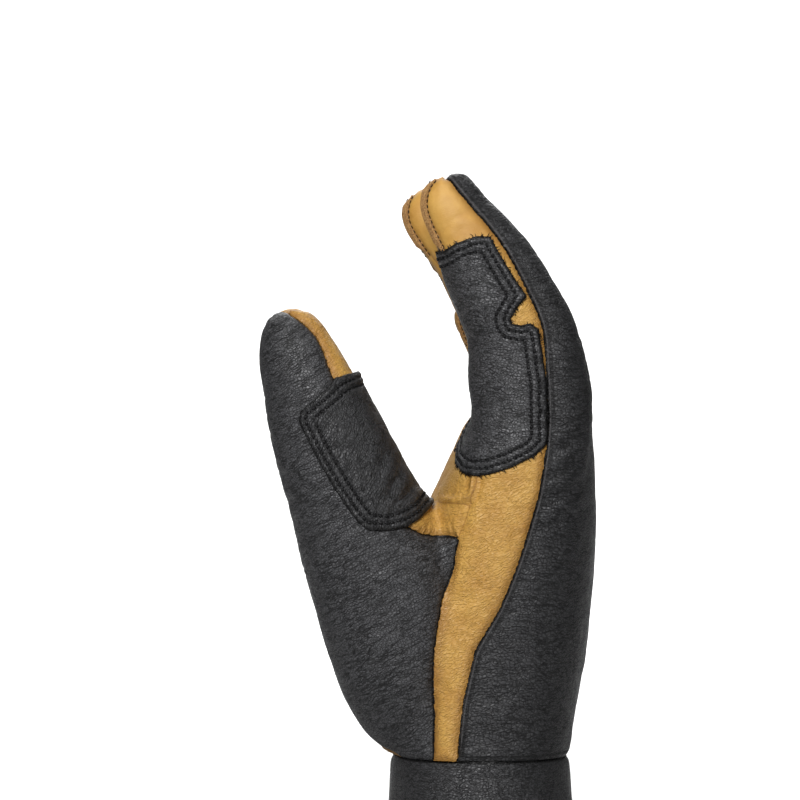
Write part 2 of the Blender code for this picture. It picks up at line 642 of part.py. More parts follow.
def add_welts(collection, skin, seams):
    """The raw-edged ridge of the outside seam at each finger tip, laid on the skin."""
    points, _, triangles = skin
    tree = BVHTree.FromPolygons(points.tolist(), triangles.tolist())
    for number, finger in enumerate(FINGERS):
        heights, places = seams.palm[number]
        base = FINGER_BASE - finger.base_drop * HAND_HEIGHT
        route = []
        for z in np.linspace(WELT_START, WELT_END, WELT_POINTS) * finger.length + base:
            x = np.interp(z, heights, places)
            y = np.interp(z, *seams.middle[number]) - WELT_SIDE * finger.width
            place, normal, _, _ = tree.ray_cast((x, y, z), (0, 1, 0))
            if place is not None:
                route.append(place + normal * (WELT_CLEARANCE + 0.5 * WELT_DIAMETER))
        curve = bpy.data.curves.new(finger.name + "_welt", "CURVE")
        curve.dimensions = "3D"
        curve.bevel_depth = 0.5 * WELT_DIAMETER
        curve.bevel_resolution = 1
        curve.use_fill_caps = True
        line = curve.splines.new("POLY")
        line.points.add(len(route) - 1)
        for spot, place in zip(line.points, route):
            spot.co = (*place, 1.0)
        curve.materials.append(leather(LEATHER_EDGE))
        collection.objects.link(bpy.data.objects.new(finger.name + "_welt", curve))


def main():
    """Builds the glove and stands it on the middle of its hem."""
    for old in list(bpy.data.objects):
        bpy.data.objects.remove(old)
    collection = bpy.data.collections.new("ski_glove")
    bpy.context.scene.collection.children.link(collection)
    skin = make_skin()
    seams = Seams()
    add_panels(collection, skin, seams)
    add_patches(collection, skin, seams)
    add_welts(collection, skin, seams)
    corners = np.array([tuple(vert.co) for piece in collection.objects
                        if piece.type == "MESH" for vert in piece.data.vertices])
    middle = 0.5 * (corners.min(axis=0) + corners.max(axis=0))
    for piece in collection.objects:
        piece.location = (-middle[0], -middle[1], 0.0)


main()
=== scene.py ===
"""Looks of a padded leather ski glove for the right hand.

The glove's skin is lofted from short section tables, parted along its seams into leather
panels, creased and puffed, and dressed with patches, stitches, fibres and raw-edged ridges.
"""
from __future__ import annotations

import logging
import math
from collections import defaultdict
from dataclasses import dataclass, field
from enum import Enum
from typing import Callable, NamedTuple, Sequence

import bmesh
import bpy
import numpy as np
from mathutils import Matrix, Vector
from mathutils.bvhtree import BVHTree
from mathutils.kdtree import KDTree


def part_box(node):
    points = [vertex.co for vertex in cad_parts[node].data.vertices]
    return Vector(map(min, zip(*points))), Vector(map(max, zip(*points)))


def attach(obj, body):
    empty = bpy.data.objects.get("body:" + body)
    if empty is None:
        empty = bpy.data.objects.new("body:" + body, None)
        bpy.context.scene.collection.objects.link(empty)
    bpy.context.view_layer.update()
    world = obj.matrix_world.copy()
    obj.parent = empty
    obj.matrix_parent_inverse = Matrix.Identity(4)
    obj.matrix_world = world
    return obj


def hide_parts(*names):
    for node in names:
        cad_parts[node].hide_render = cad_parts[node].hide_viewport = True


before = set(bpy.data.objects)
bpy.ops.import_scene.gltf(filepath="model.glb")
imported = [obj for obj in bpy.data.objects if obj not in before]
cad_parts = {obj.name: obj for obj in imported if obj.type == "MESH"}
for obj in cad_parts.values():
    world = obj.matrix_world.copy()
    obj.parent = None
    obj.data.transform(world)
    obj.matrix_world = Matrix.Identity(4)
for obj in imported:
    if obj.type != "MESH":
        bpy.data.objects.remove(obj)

LOG = logging.getLogger("glove")
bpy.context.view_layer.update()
MM = 0.001
TOUCH = 0.01 * MM
Array = np.ndarray


class FingerRow(NamedTuple):
    """One finger section, in shares of the finger's length and of its own sizes."""
    forward: float
    up: float
    tilt: float
    depth: float
    width: float
    back_seam: float
    palm_seam: float


class HandRow(NamedTuple):
    """One hand section, in shares of the hand's height, depth and width."""
    height: float
    palm: float
    back: float
    near: float
    far: float
    square: float


class ThumbRow(NamedTuple):
    """One thumb section; drop is a share of the thumb's length below its tip."""
    x: float
    drop: float
    tilt: float
    depth: float
    side: float
    width: float


class Spot(NamedTuple):
    """A point seen from the thumb side: share of the hand's height, share of its depth."""
    height: float
    x: float


class Finger(NamedTuple):
    """Where a finger stands on the hand, and its sizes in metres."""
    name: str
    side: float
    base_x: float
    base_drop: float
    length: float
    width: float
    curl: float
    least_seam: float = -1.0


class Panel(Enum):
    """The leather panels, each with the CAD node that it stands for."""
    BACK = "back_panel"
    PALM = "palm_panel"
    INDEX_SIDE = "index_side_panel"
    THUMB = "thumb_panel"
    THUMB_FRONT = "thumb_front_panel"
    CUFF = "cuff"
    FORK_1 = "fourchette_1"
    FORK_2 = "fourchette_2"
    FORK_3 = "fourchette_3"


PANELS = tuple(Panel)
FORKS = (Panel.FORK_1, Panel.FORK_2, Panel.FORK_3)
BLACK_PANELS = (Panel.BACK, Panel.THUMB, Panel.CUFF)

FINGERS = (
    Finger("index", -0.375, 0.175, 0.000, 0.0786, 0.0250, 0.00),
    Finger("middle", -0.125, 0.205, 0.003, 0.0800, 0.0248, 0.135, 0.60),
    Finger("ring", 0.123, 0.190, 0.012, 0.0710, 0.0242, 0.06),
    Finger("little", 0.356, 0.250, 0.094, 0.0585, 0.0226, 0.02),
)
FINGER_ROWS = (
    FingerRow(-0.020, -0.450, 0.0, 0.70, 0.80, 0.22, -0.86),
    FingerRow(-0.008, -0.200, 1.0, 0.93, 0.95, 0.24, -0.86),
    FingerRow(0.000, 0.000, 3.0, 1.00, 1.00, 0.25, -0.86),
    FingerRow(0.016, 0.142, 6.0, 0.97, 0.97, 0.30, -0.86),
    FingerRow(0.036, 0.292, 12.0, 0.885, 0.95, 0.36, -0.86),
    FingerRow(0.105, 0.444, 22.0, 0.80, 0.92, 0.42, -0.86),
    FingerRow(0.174, 0.571, 26.0, 0.745, 0.89, 0.46, -0.86),
    FingerRow(0.237, 0.669, 30.0, 0.655, 0.85, 0.50, -0.87),
    FingerRow(0.302, 0.760, 31.0, 0.566, 0.78, 0.50, -0.87),
    FingerRow(0.348, 0.838, 27.0, 0.510, 0.72, 0.44, -0.80),
    FingerRow(0.364, 0.893, 23.0, 0.410, 0.58, 0.34, -0.62),
    FingerRow(0.370, 0.920, 20.0, 0.220, 0.30, 0.20, -0.20),
)
HAND_ROWS = (
    HandRow(-0.060, -0.675, 0.540, -0.455, 0.455, 2.2),
    HandRow(0.000, -0.660, 0.530, -0.450, 0.450, 2.2),
    HandRow(0.120, -0.640, 0.495, -0.435, 0.435, 2.2),
    HandRow(0.270, -0.605, 0.430, -0.395, 0.400, 2.3),
    HandRow(0.385, -0.590, 0.400, -0.375, 0.380, 2.3),
    HandRow(0.480, -0.620, 0.430, -0.390, 0.395, 2.4),
    HandRow(0.590, -0.610, 0.488, -0.415, 0.425, 2.5),
    HandRow(0.680, -0.535, 0.515, -0.440, 0.445, 2.6),
    HandRow(0.780, -0.440, 0.530, -0.468, 0.465, 2.8),
    HandRow(0.845, -0.368, 0.530, -0.482, 0.475, 3.0),
    HandRow(0.890, -0.300, 0.525, -0.490, 0.478, 3.2),
    HandRow(0.940, -0.230, 0.515, -0.492, 0.478, 3.4),
    HandRow(0.975, -0.180, 0.500, -0.490, 0.465, 3.4),
    HandRow(1.000, -0.120, 0.450, -0.470, 0.440, 3.2),
)
THUMB_ROWS = (
    ThumbRow(-1.120, -0.004, 4.0, 0.080, -0.345, 0.09),
    ThumbRow(-1.122, 0.003, 6.0, 0.200, -0.346, 0.24),
    ThumbRow(-1.117, 0.025, 12.0, 0.335, -0.348, 0.40),
    ThumbRow(-1.090, 0.079, 19.0, 0.464, -0.350, 0.50),
    ThumbRow(-1.032, 0.146, 19.5, 0.556, -0.348, 0.57),
    ThumbRow(-0.982, 0.210, 19.0, 0.625, -0.345, 0.62),
    ThumbRow(-0.902, 0.294, 19.5, 0.692, -0.338, 0.68),
    ThumbRow(-0.833, 0.368, 19.5, 0.737, -0.328, 0.74),
    ThumbRow(-0.780, 0.418, 19.0, 0.788, -0.315, 0.80),
    ThumbRow(-0.709, 0.480, 20.0, 0.880, -0.292, 0.88),
    ThumbRow(-0.621, 0.563, 20.0, 0.938, -0.262, 0.95),
    ThumbRow(-0.520, 0.665, 20.0, 1.000, -0.225, 1.00),
    ThumbRow(-0.435, 0.780, 20.0, 0.960, -0.180, 0.98),
    ThumbRow(-0.365, 0.880, 18.0, 0.800, -0.130, 0.85),
    ThumbRow(-0.290, 0.970, 15.0, 0.500, -0.080, 0.60),
)
BACK_SEAM_NEAR = (
    Spot(0.380, -0.240), Spot(0.500, -0.195), Spot(0.590, -0.130), Spot(0.625, -0.065),
    Spot(0.660, 0.000), Spot(0.700, 0.053), Spot(0.745, 0.106), Spot(0.790, 0.150),
    Spot(0.860, 0.212), Spot(0.940, 0.249), Spot(1.000, 0.257),
)
BACK_SEAM_FAR = (Spot(0.380, -0.080), Spot(0.600, 0.020), Spot(0.800, 0.140), Spot(0.930, 0.200))
SIDE_SEAM = (
    Spot(0.380, -0.400), Spot(0.784, -0.400), Spot(0.785, -0.228), Spot(0.825, -0.186),
    Spot(0.850, -0.160), Spot(0.872, -0.131), Spot(0.890, -0.125), Spot(0.935, -0.112),
    Spot(0.990, -0.100),
)
THUMB_FRONT_EDGE = (
    Spot(0.700, -0.233), Spot(0.784, -0.228), Spot(0.815, -0.192), Spot(0.839, -0.168),
    Spot(0.843, -0.200), Spot(0.845, -0.330), Spot(1.200, -0.340),
)
THUMB_SEAM = (
    Spot(0.380, -0.370), Spot(0.500, -0.355), Spot(0.594, -0.340), Spot(0.635, -0.318),
    Spot(0.681, -0.292), Spot(0.729, -0.260), Spot(0.774, -0.244), Spot(0.784, -0.236),
    Spot(0.789, -0.302), Spot(0.793, -0.393), Spot(0.805, -0.483), Spot(0.824, -0.557),
    Spot(0.884, -0.663), Spot(0.969, -0.796), Spot(1.053, -0.864), Spot(1.080, -0.896),
    Spot(1.106, -0.920), Spot(1.132, -0.960), Spot(1.149, -1.010), Spot(1.163, -1.064),
    Spot(1.177, -1.130), Spot(1.200, -1.150),
)
THUMB_NEAR_SIDE = (
    Spot(0.380, -0.300), Spot(0.500, -0.350), Spot(0.594, -0.400), Spot(0.700, -0.405),
    Spot(0.774, -0.405), Spot(0.786, -0.380), Spot(0.793, -0.410), Spot(0.805, -0.440),
    Spot(0.824, -0.460), Spot(1.000, -0.465), Spot(1.080, -0.440), Spot(1.130, -0.420),
    Spot(1.176, -0.370),
)
INDEX_PATCH = (
    Spot(1.270, -0.420), Spot(1.273, -0.290), Spot(1.286, -0.230), Spot(1.297, -0.130),
    Spot(1.296, -0.062), Spot(1.279, -0.032), Spot(1.226, 0.064), Spot(1.196, 0.124),
    Spot(1.185, 0.094), Spot(1.171, 0.069), Spot(1.159, 0.048), Spot(1.149, 0.058),
    Spot(1.146, 0.106), Spot(1.149, 0.154), Spot(1.140, 0.190), Spot(1.100, 0.209),
    Spot(1.050, 0.229), Spot(0.960, 0.235), Spot(0.945, 0.228), Spot(0.926, 0.170),
    Spot(0.907, 0.053), Spot(0.895, -0.058), Spot(0.892, -0.138), Spot(0.897, -0.191),
    Spot(0.913, -0.223), Spot(0.940, -0.214), Spot(0.950, -0.400), Spot(1.000, -0.500),
)
THUMB_PATCH = (
    Spot(1.068, -0.700), Spot(1.067, -0.748), Spot(1.061, -0.817), Spot(1.053, -0.870),
    Spot(1.034, -0.929), Spot(1.000, -1.050), Spot(0.985, -1.056), Spot(0.955, -1.014),
    Spot(0.914, -0.950), Spot(0.870, -0.870), Spot(0.834, -0.796), Spot(0.812, -0.743),
    Spot(0.801, -0.700), Spot(0.800, -0.584), Spot(0.807, -0.504), Spot(0.820, -0.430),
    Spot(0.843, -0.360), Spot(0.900, -0.360), Spot(1.000, -0.480),
)


def spline(knots: Sequence[float], values: Sequence[float], places: Array) -> Array:
    """A smooth curve through the values at the knots.

    Args:
        knots: Rising places of the values.
        values: One value at each knot.
        places: Where the curve is read.

    Returns:
        The curve's value at each place.
    """
    knots, values = np.asarray(knots, float), np.asarray(values, float)
    slopes = np.gradient(values, knots)
    cell = np.clip(np.searchsorted(knots, places) - 1, 0, len(knots) - 2)
    span = knots[cell + 1] - knots[cell]
    t = np.clip((places - knots[cell]) / span, 0.0, 1.0)
    rise = values[cell + 1] - values[cell]
    start, end = slopes[cell] * span, slopes[cell + 1] * span
    return (values[cell] + t * start + t * t * (3 * rise - 2 * start - end)
            + t ** 3 * (start + end - 2 * rise))


def unit(vectors: Array) -> Array:
    """The vectors at length one."""
    return vectors / np.maximum(np.linalg.norm(vectors, axis=-1, keepdims=True), 1e-12)


def smoothstep(low: float, high: float, values: Array) -> Array:
    """0 below low, 1 above high and smooth between them."""
    t = np.clip((values - low) / (high - low), 0.0, 1.0)
    return t * t * (3 - 2 * t)


def lattice_noise(points: Array, seed: int) -> Array:
    """Smooth noise between 0 and 1.

    Args:
        points: Rows of three coordinates; one unit is about one blob.
        seed: Which of the noises.

    Returns:
        One value a row.
    """
    cell = np.floor(points).astype(np.int64)
    part = points - cell
    part = part * part * (3 - 2 * part)
    total = np.zeros(len(points))
    for dx in (0, 1):
        for dy in (0, 1):
            for dz in (0, 1):
                corner = cell + (dx, dy, dz)
                code = (corner[:, 0] * 73856093) ^ (corner[:, 1] * 19349663)
                code = (code ^ (corner[:, 2] * 83492791) ^ (seed * 2654435761)) & 0xFFFFFFFF
                code = ((code ^ (code >> 13)) * 1274126177) & 0xFFFFFFFF
                value = ((code ^ (code >> 16)) & 0xFFFF) / 0xFFFF
                weight = np.abs(1 - dx - part[:, 0]) * np.abs(1 - dy - part[:, 1])
                total += value * weight * np.abs(1 - dz - part[:, 2])
    return total


@dataclass
class Skin:
    """A triangle surface with a unit normal at each point."""
    points: Array
    triangles: Array
    normals: Array = field(default_factory=lambda: np.zeros((0, 3)))

    def __post_init__(self) -> None:
        """Works the normals out where none are given."""
        if len(self.normals) != len(self.points):
            self.renormal()

    def renormal(self) -> None:
        """Works the normals out again from the triangles."""
        a, b, c = (self.points[self.triangles[:, k]] for k in range(3))
        faces = np.cross(b - a, c - a)
        total = np.column_stack([
            sum(np.bincount(self.triangles[:, k], faces[:, axis], len(self.points)) for k in range(3))
            for axis in range(3)])
        self.normals = unit(total)

    def select(self, mask: Array) -> tuple[Skin, Array]:
        """Picks some of the triangles.

        Args:
            mask: True for each triangle to keep.

        Returns:
            The picked skin, and the number that each of its points had before.
        """
        used, triangles = np.unique(self.triangles[mask], return_inverse=True)
        return Skin(self.points[used], triangles.reshape(-1, 3), self.normals[used]), used

    def half_edges(self) -> Array:
        """Every side of every triangle, in the triangle's own direction."""
        t = self.triangles
        return np.concatenate([t[:, [0, 1]], t[:, [1, 2]], t[:, [2, 0]]])

    def edges(self) -> Array:
        """Each edge once, as two point numbers in rising order."""
        pairs = np.sort(self.half_edges(), axis=1)
        keys = np.unique(pairs[:, 0] * len(self.points) + pairs[:, 1])
        return np.column_stack(np.divmod(keys, len(self.points)))

    def rim(self) -> Array:
        """The edges that have one triangle only, in the triangle's own direction."""
        pairs = self.half_edges()
        there = pairs[:, 0] * len(self.points) + pairs[:, 1]
        back = pairs[:, 1] * len(self.points) + pairs[:, 0]
        return pairs[~np.isin(there, back)]

    def halved(self) -> Skin:
        """The same surface with each triangle cut into four.

        Returns:
            The finer skin.
        """
        edges = self.edges()
        size = len(self.points)
        keys = edges[:, 0] * size + edges[:, 1]

        def middle(a: Array, b: Array) -> Array:
            """The new point of each edge from a to b."""
            return size + np.searchsorted(keys, np.minimum(a, b) * size + np.maximum(a, b))

        points = np.vstack([self.points, self.points[edges].mean(axis=1)])
        normals = unit(np.vstack([self.normals, self.normals[edges].sum(axis=1)]))
        a, b, c = self.triangles.T
        ab, bc, ca = middle(a, b), middle(b, c), middle(c, a)
        quarters = ((a, ab, ca), (ab, b, bc), (ca, bc, c), (ab, bc, ca))
        return Skin(points, np.vstack([np.column_stack(three) for three in quarters]), normals)

    def inward(self) -> Array:
        """For each point on the rim the unit direction into the surface, and zero elsewhere.

        Returns:
            One direction a point.
        """
        rim = self.rim()
        along = self.points[rim[:, 1]] - self.points[rim[:, 0]]
        into = unit(np.cross(self.normals[rim[:, 0]] + self.normals[rim[:, 1]], along))
        total = np.zeros_like(self.points)
        for k in (0, 1):
            np.add.at(total, rim[:, k], into)
        size = np.linalg.norm(total, axis=1, keepdims=True)
        return np.where(size > 1e-9, total / np.maximum(size, 1e-9), 0.0)

    def smoothed(self, values: Array, rounds: int) -> Array:
        """The values after averaging each point with its neighbours some times over.

        Args:
            values: One value a point.
            rounds: How many times.

        Returns:
            The smoother values.
        """
        edges = self.edges()
        count = np.bincount(edges.ravel(), minlength=len(self.points))
        for _ in range(rounds):
            total = (np.bincount(edges[:, 0], values[edges[:, 1]], len(self.points))
                     + np.bincount(edges[:, 1], values[edges[:, 0]], len(self.points)))
            values = 0.5 * values + 0.5 * total / count
        return values


def distance_to(points: Array, targets: Array) -> Array:
    """How far each point lies from the nearest target, in metres.

    Args:
        points: The places asked about.
        targets: The places to measure to.

    Returns:
        One distance a point.
    """
    tree = KDTree(len(targets))
    for number, place in enumerate(targets):
        tree.insert(place, number)
    tree.balance()
    return np.array([tree.find(place)[2] for place in points])


def rim_distance(skin: Skin) -> Array:
    """How far each point of the skin lies from its rim.

    Args:
        skin: The surface.

    Returns:
        One distance a point.
    """
    rim = skin.rim()
    ends = skin.points[rim]
    targets = np.vstack([ends[:, 0] * (1 - share) + ends[:, 1] * share for share in (0.0, 0.33, 0.67)])
    return distance_to(skin.points, targets)


def seam_distance(cut: Cut, tan_depth: float = 0.35, low_depth: float = 0.20) -> tuple[Array, Array]:
    """How far each point lies from the nearest seam, and how deep that seam is.

    Args:
        cut: The skin, parted along its seams.
        tan_depth: How deep a seam between two tan panels is, where one beside black is 1.
        low_depth: The same below the knuckles.

    Returns:
        The distance and the depth, for each point.
    """
    dark = np.zeros(len(cut.skin.points), bool)
    black = [PANELS.index(panel) for panel in BLACK_PANELS]
    dark[cut.skin.triangles[np.isin(cut.labels, black)]] = True
    deep, slight = (distance_to(cut.skin.points, cut.skin.points[cut.line[dark[cut.line] == kind]])
                    for kind in (True, False))
    low = cut.skin.points[:, 2] < GloveForm.hand_height
    depth = np.where(deep < slight, 1.0, np.where(low, low_depth, tan_depth))
    return np.minimum(deep, slight), depth


def islands(count: int, pairs: Array) -> Array:
    """Numbers the groups that pairs join together.

    Args:
        count: How many items there are.
        pairs: Two items a row.

    Returns:
        For each item the lowest item of its group.
    """
    lowest = np.arange(count)
    while True:
        low = np.minimum(lowest[pairs[:, 0]], lowest[pairs[:, 1]])
        high = np.maximum(lowest[pairs[:, 0]], lowest[pairs[:, 1]])
        if np.array_equal(low, high):
            return lowest
        np.minimum.at(lowest, high, low)
        for _ in range(4):
            lowest = lowest[lowest]


def drop_strays(skin: Skin, labels: Array) -> Array:
    """Gives each stray island of a label to the label round it.

    Args:
        skin: The surface.
        labels: The label of each triangle.

    Returns:
        The labels with one island each.
    """
    pairs = skin.half_edges()
    owner = np.tile(np.arange(len(skin.triangles)), 3)
    key = np.minimum(*pairs.T) * len(skin.points) + np.maximum(*pairs.T)
    order = np.argsort(key, kind="stable")
    same = key[order][1:] == key[order][:-1]
    near = np.column_stack([owner[order][:-1][same], owner[order][1:][same]])
    group = islands(len(labels), near[labels[near[:, 0]] == labels[near[:, 1]]])
    names, sizes = np.unique(group, return_counts=True)
    largest = {}
    for name, size in zip(names.tolist(), sizes.tolist()):
        if size > largest.get(labels[name], (0, 0))[0]:
            largest[labels[name]] = (size, name)
    labels = labels.copy()
    for name in names.tolist():
        if largest[labels[name]][1] == name:
            continue
        touching = near[(group[near] == name).sum(axis=1) == 1]
        around = labels[touching[group[touching] != name]]
        if len(around):
            labels[group == name] = np.bincount(around).argmax()
    return labels


@dataclass
class Cut:
    """A skin after it is parted along the lines where a rule's label changes."""
    skin: Skin
    labels: Array
    line: Array


def part(skin: Skin, rule: Callable[[Array], Array], margin: float = 0.04) -> Cut:
    """Cuts the skin where the label that a rule gives changes.

    Args:
        skin: The surface.
        rule: Gives a whole number for each point.
        margin: The smallest share of an edge that a cut leaves.

    Returns:
        The cut skin, the label of each triangle and the numbers of the points on the cuts.
    """
    points, normals, triangles = skin.points, skin.normals, skin.triangles
    labels = rule(points)
    edges = skin.edges()
    crossed = edges[labels[edges[:, 0]] != labels[edges[:, 1]]]
    low, high = np.zeros(len(crossed)), np.ones(len(crossed))
    start, end = points[crossed[:, 0]], points[crossed[:, 1]]
    for _ in range(16):
        middle = 0.5 * (low + high)
        same = rule(start + (end - start) * middle[:, None]) == labels[crossed[:, 0]]
        low, high = np.where(same, middle, low), np.where(same, high, middle)
    share = np.clip(0.5 * (low + high), margin, 1 - margin)[:, None]
    fresh = [start + (end - start) * share]
    turned = [normals[crossed[:, 0]] * (1 - share) + normals[crossed[:, 1]] * share]
    number = {(a, b): len(points) + k for k, (a, b) in enumerate(crossed.tolist())}
    kinds = labels[triangles]
    plain = (kinds[:, 0] == kinds[:, 1]) & (kinds[:, 1] == kinds[:, 2])
    pieces, names = [], []
    centre = len(points) + len(crossed)

    def add(label: int, *corners: int) -> None:
        """Adds one convex piece as a fan of triangles."""
        for k in range(1, len(corners) - 1):
            pieces.append((corners[0], corners[k], corners[k + 1]))
            names.append(label)

    def between(a: int, b: int) -> int:
        """The cut point of an edge."""
        return number[(min(a, b), max(a, b))]

    for a, b, c in triangles[~plain].tolist():
        if len({labels[a], labels[b], labels[c]}) == 3:
            fresh.append(points[[a, b, c]].mean(axis=0)[None])
            turned.append(normals[[a, b, c]].sum(axis=0)[None])
            for one, two, three in ((a, b, c), (b, c, a), (c, a, b)):
                add(labels[one], one, between(one, two), centre, between(one, three))
            centre += 1
            continue
        while labels[b] == labels[a] or labels[c] == labels[a]:
            a, b, c = b, c, a
        add(labels[a], a, between(a, b), between(a, c))
        add(labels[b], between(a, b), b, c, between(a, c))
    whole = Skin(np.vstack([points, *fresh]),
                 np.vstack([triangles[plain], np.array(pieces, int).reshape(-1, 3)]),
                 unit(np.vstack([normals, *turned])))
    names = np.concatenate([kinds[plain, 0], np.array(names, int)])
    return Cut(whole, names, np.arange(len(points), len(whole.points)))


def chained(pairs: Sequence[tuple[int, int]]) -> list[list[int]]:
    """Joins pairs of numbers end to end into lines; a closed line ends where it starts.

    Args:
        pairs: Two numbers that lie side by side.

    Returns:
        The numbers of each line, in order.
    """
    near = defaultdict(list)
    for a, b in pairs:
        near[a].append(b)
        near[b].append(a)
    lines, seen = [], set()
    for start in [key for key in near if len(near[key]) == 1] + list(near):
        if start in seen:
            continue
        line = [start]
        seen.add(start)
        while True:
            ahead = [key for key in near[line[-1]] if key not in seen]
            if not ahead:
                break
            line.append(ahead[0])
            seen.add(ahead[0])
        if len(line) > 2 and line[0] in near[line[-1]]:
            line.append(line[0])
        lines.append(line)
    return lines


@dataclass
class Line:
    """An ordered line on the glove, with the skin's normal along it."""
    points: Array
    normals: Array

    def even(self, pitch: float) -> Line:
        """The line with its points set an even pitch apart.

        Args:
            pitch: The distance wanted.

        Returns:
            The line, with a pitch that fits its length.
        """
        steps = np.linalg.norm(np.diff(self.points, axis=0), axis=1)
        along = np.concatenate([[0.0], np.cumsum(steps)])
        places = np.linspace(0.0, along[-1], max(int(along[-1] / pitch), 1) + 1)
        both = [np.column_stack([np.interp(places, along, part[:, k]) for k in range(3)])
                for part in (self.points, self.normals)]
        return Line(both[0], unit(both[1]))

    def smooth(self, rounds: int) -> Line:
        """The line with its small jags averaged away and its ends kept.

        Args:
            rounds: How many times.

        Returns:
            The smoother line.
        """
        points, normals = self.points.copy(), self.normals.copy()
        for _ in range(rounds):
            for values in (points, normals):
                values[1:-1] = 0.5 * values[1:-1] + 0.25 * (values[:-2] + values[2:])
        return Line(points, unit(normals))

    def lifted(self, height: float) -> Line:
        """The line moved out along its normals."""
        return Line(self.points + self.normals * height, self.normals)


def contours(skin: Skin, values: Array, level: float) -> list[Line]:
    """The lines on the skin where the values cross a level.

    Args:
        skin: The surface.
        values: One value for each point.
        level: The value to follow.

    Returns:
        The lines that are longer than a few points.
    """
    above = values > level
    kinds = above[skin.triangles]
    spots: dict[tuple[int, int], tuple[Array, Array]] = {}
    pairs = []
    for triangle in skin.triangles[kinds.any(axis=1) & ~kinds.all(axis=1)].tolist():
        ends = []
        for a, b in ((0, 1), (1, 2), (2, 0)):
            i, j = sorted((triangle[a], triangle[b]))
            if above[i] != above[j]:
                t = (level - values[i]) / (values[j] - values[i])
                spots[(i, j)] = (skin.points[i] * (1 - t) + skin.points[j] * t,
                                 skin.normals[i] * (1 - t) + skin.normals[j] * t)
                ends.append((i, j))
        pairs.append(tuple(ends))
    lines = [line for line in chained(pairs) if len(line) > 5]
    return [Line(np.array([spots[key][0] for key in line]),
                 unit(np.array([spots[key][1] for key in line]))) for line in lines]


def rim_lines(skin: Skin) -> list[tuple[Array, Line]]:
    """The rim of the skin as ordered lines, each with its point numbers.

    Args:
        skin: The surface.

    Returns:
        The point numbers and the line of each stretch of rim.
    """
    found = []
    for line in chained([tuple(pair) for pair in skin.rim().tolist()]):
        numbers = np.array(line)
        found.append((numbers, Line(skin.points[numbers], skin.normals[numbers])))
    return found


@dataclass
class Solid:
    """Points and triangles that are ready to become a mesh, with one value a point."""
    points: Array
    triangles: Array
    values: Array

    @staticmethod
    def joined(solids: Sequence[Solid]) -> Solid:
        """Several solids as one.

        Args:
            solids: What is joined.

        Returns:
            One solid with all their triangles.
        """
        starts = np.cumsum([0] + [len(solid.points) for solid in solids])
        return Solid(np.vstack([solid.points for solid in solids]),
                     np.vstack([solid.triangles + start for solid, start in zip(solids, starts)]),
                     np.concatenate([solid.values for solid in solids]))


def swept(paths: Array, ups: Array, section: Array, scales: Array) -> Solid:
    """Sweeps one section along many paths at once.

    Args:
        paths: Paths of as many points each, as one array of paths, points and axes.
        ups: The upward direction at each point.
        section: Rows of across and up, anticlockwise.
        scales: The section's size at each point, for all paths or for each.

    Returns:
        The closed tubes as one solid.
    """
    count, steps, _ = paths.shape
    along = unit(np.gradient(paths, axis=1))
    across = unit(np.cross(along, ups))
    up = np.cross(across, along)
    ring = (section[:, 0, None] * across[:, :, None] + section[:, 1, None] * up[:, :, None])
    ring *= np.broadcast_to(scales, (count, steps))[:, :, None, None]
    points = paths[:, :, None] + ring
    number = np.arange(count * steps * len(section)).reshape(count, steps, -1)
    a, c = number[:, :-1], number[:, 1:]
    b, d = np.roll(a, -1, axis=2), np.roll(c, -1, axis=2)
    faces = [np.stack([a, d, b], axis=-1), np.stack([a, c, d], axis=-1)]
    first, last = number[:, 0], number[:, -1]
    for k in range(1, len(section) - 1):
        faces.append(np.stack([first[:, 0], first[:, k], first[:, k + 1]], axis=-1))
        faces.append(np.stack([last[:, 0], last[:, k + 1], last[:, k]], axis=-1))
    triangles = np.vstack([face.reshape(-1, 3) for face in faces])
    return Solid(points.reshape(-1, 3), triangles, np.zeros(number.size))


def circle(sides: int) -> Array:
    """A round section of radius one."""
    turn = np.linspace(0, 2 * math.pi, sides, endpoint=False)
    return np.column_stack([np.cos(turn), np.sin(turn)])


def running_stitches(lines: Sequence[Line], pitch: float, radius: float, rise: float, sink: float,
                     sides: int) -> Solid:
    """Rows of short bowed stitches.

    Args:
        lines: Where the rows run, with the direction that the stitches stand out in.
        pitch: Length of a stitch and the gap after it.
        radius: The thread's radius.
        rise: How far a stitch bows out from its ends.
        sink: How far its ends lie below the line.
        sides: Sides of the thread.

    Returns:
        All the stitches as one solid.
    """
    steps = 6
    bow = rise * (1 - np.linspace(-1, 1, steps - 1) ** 2) - sink
    paths, ups = [], []
    for line in [line.even(pitch / steps) for line in lines]:
        for first in range(0, len(line.points) - steps, steps):
            near = np.arange(first, first + steps - 1)
            paths.append(line.points[near] + line.normals[near] * bow[:, None])
            ups.append(line.normals[near])
    return swept(np.array(paths), np.array(ups), circle(sides),
                 radius * np.array([0.6, 1.0, 1.1, 1.0, 0.6]))


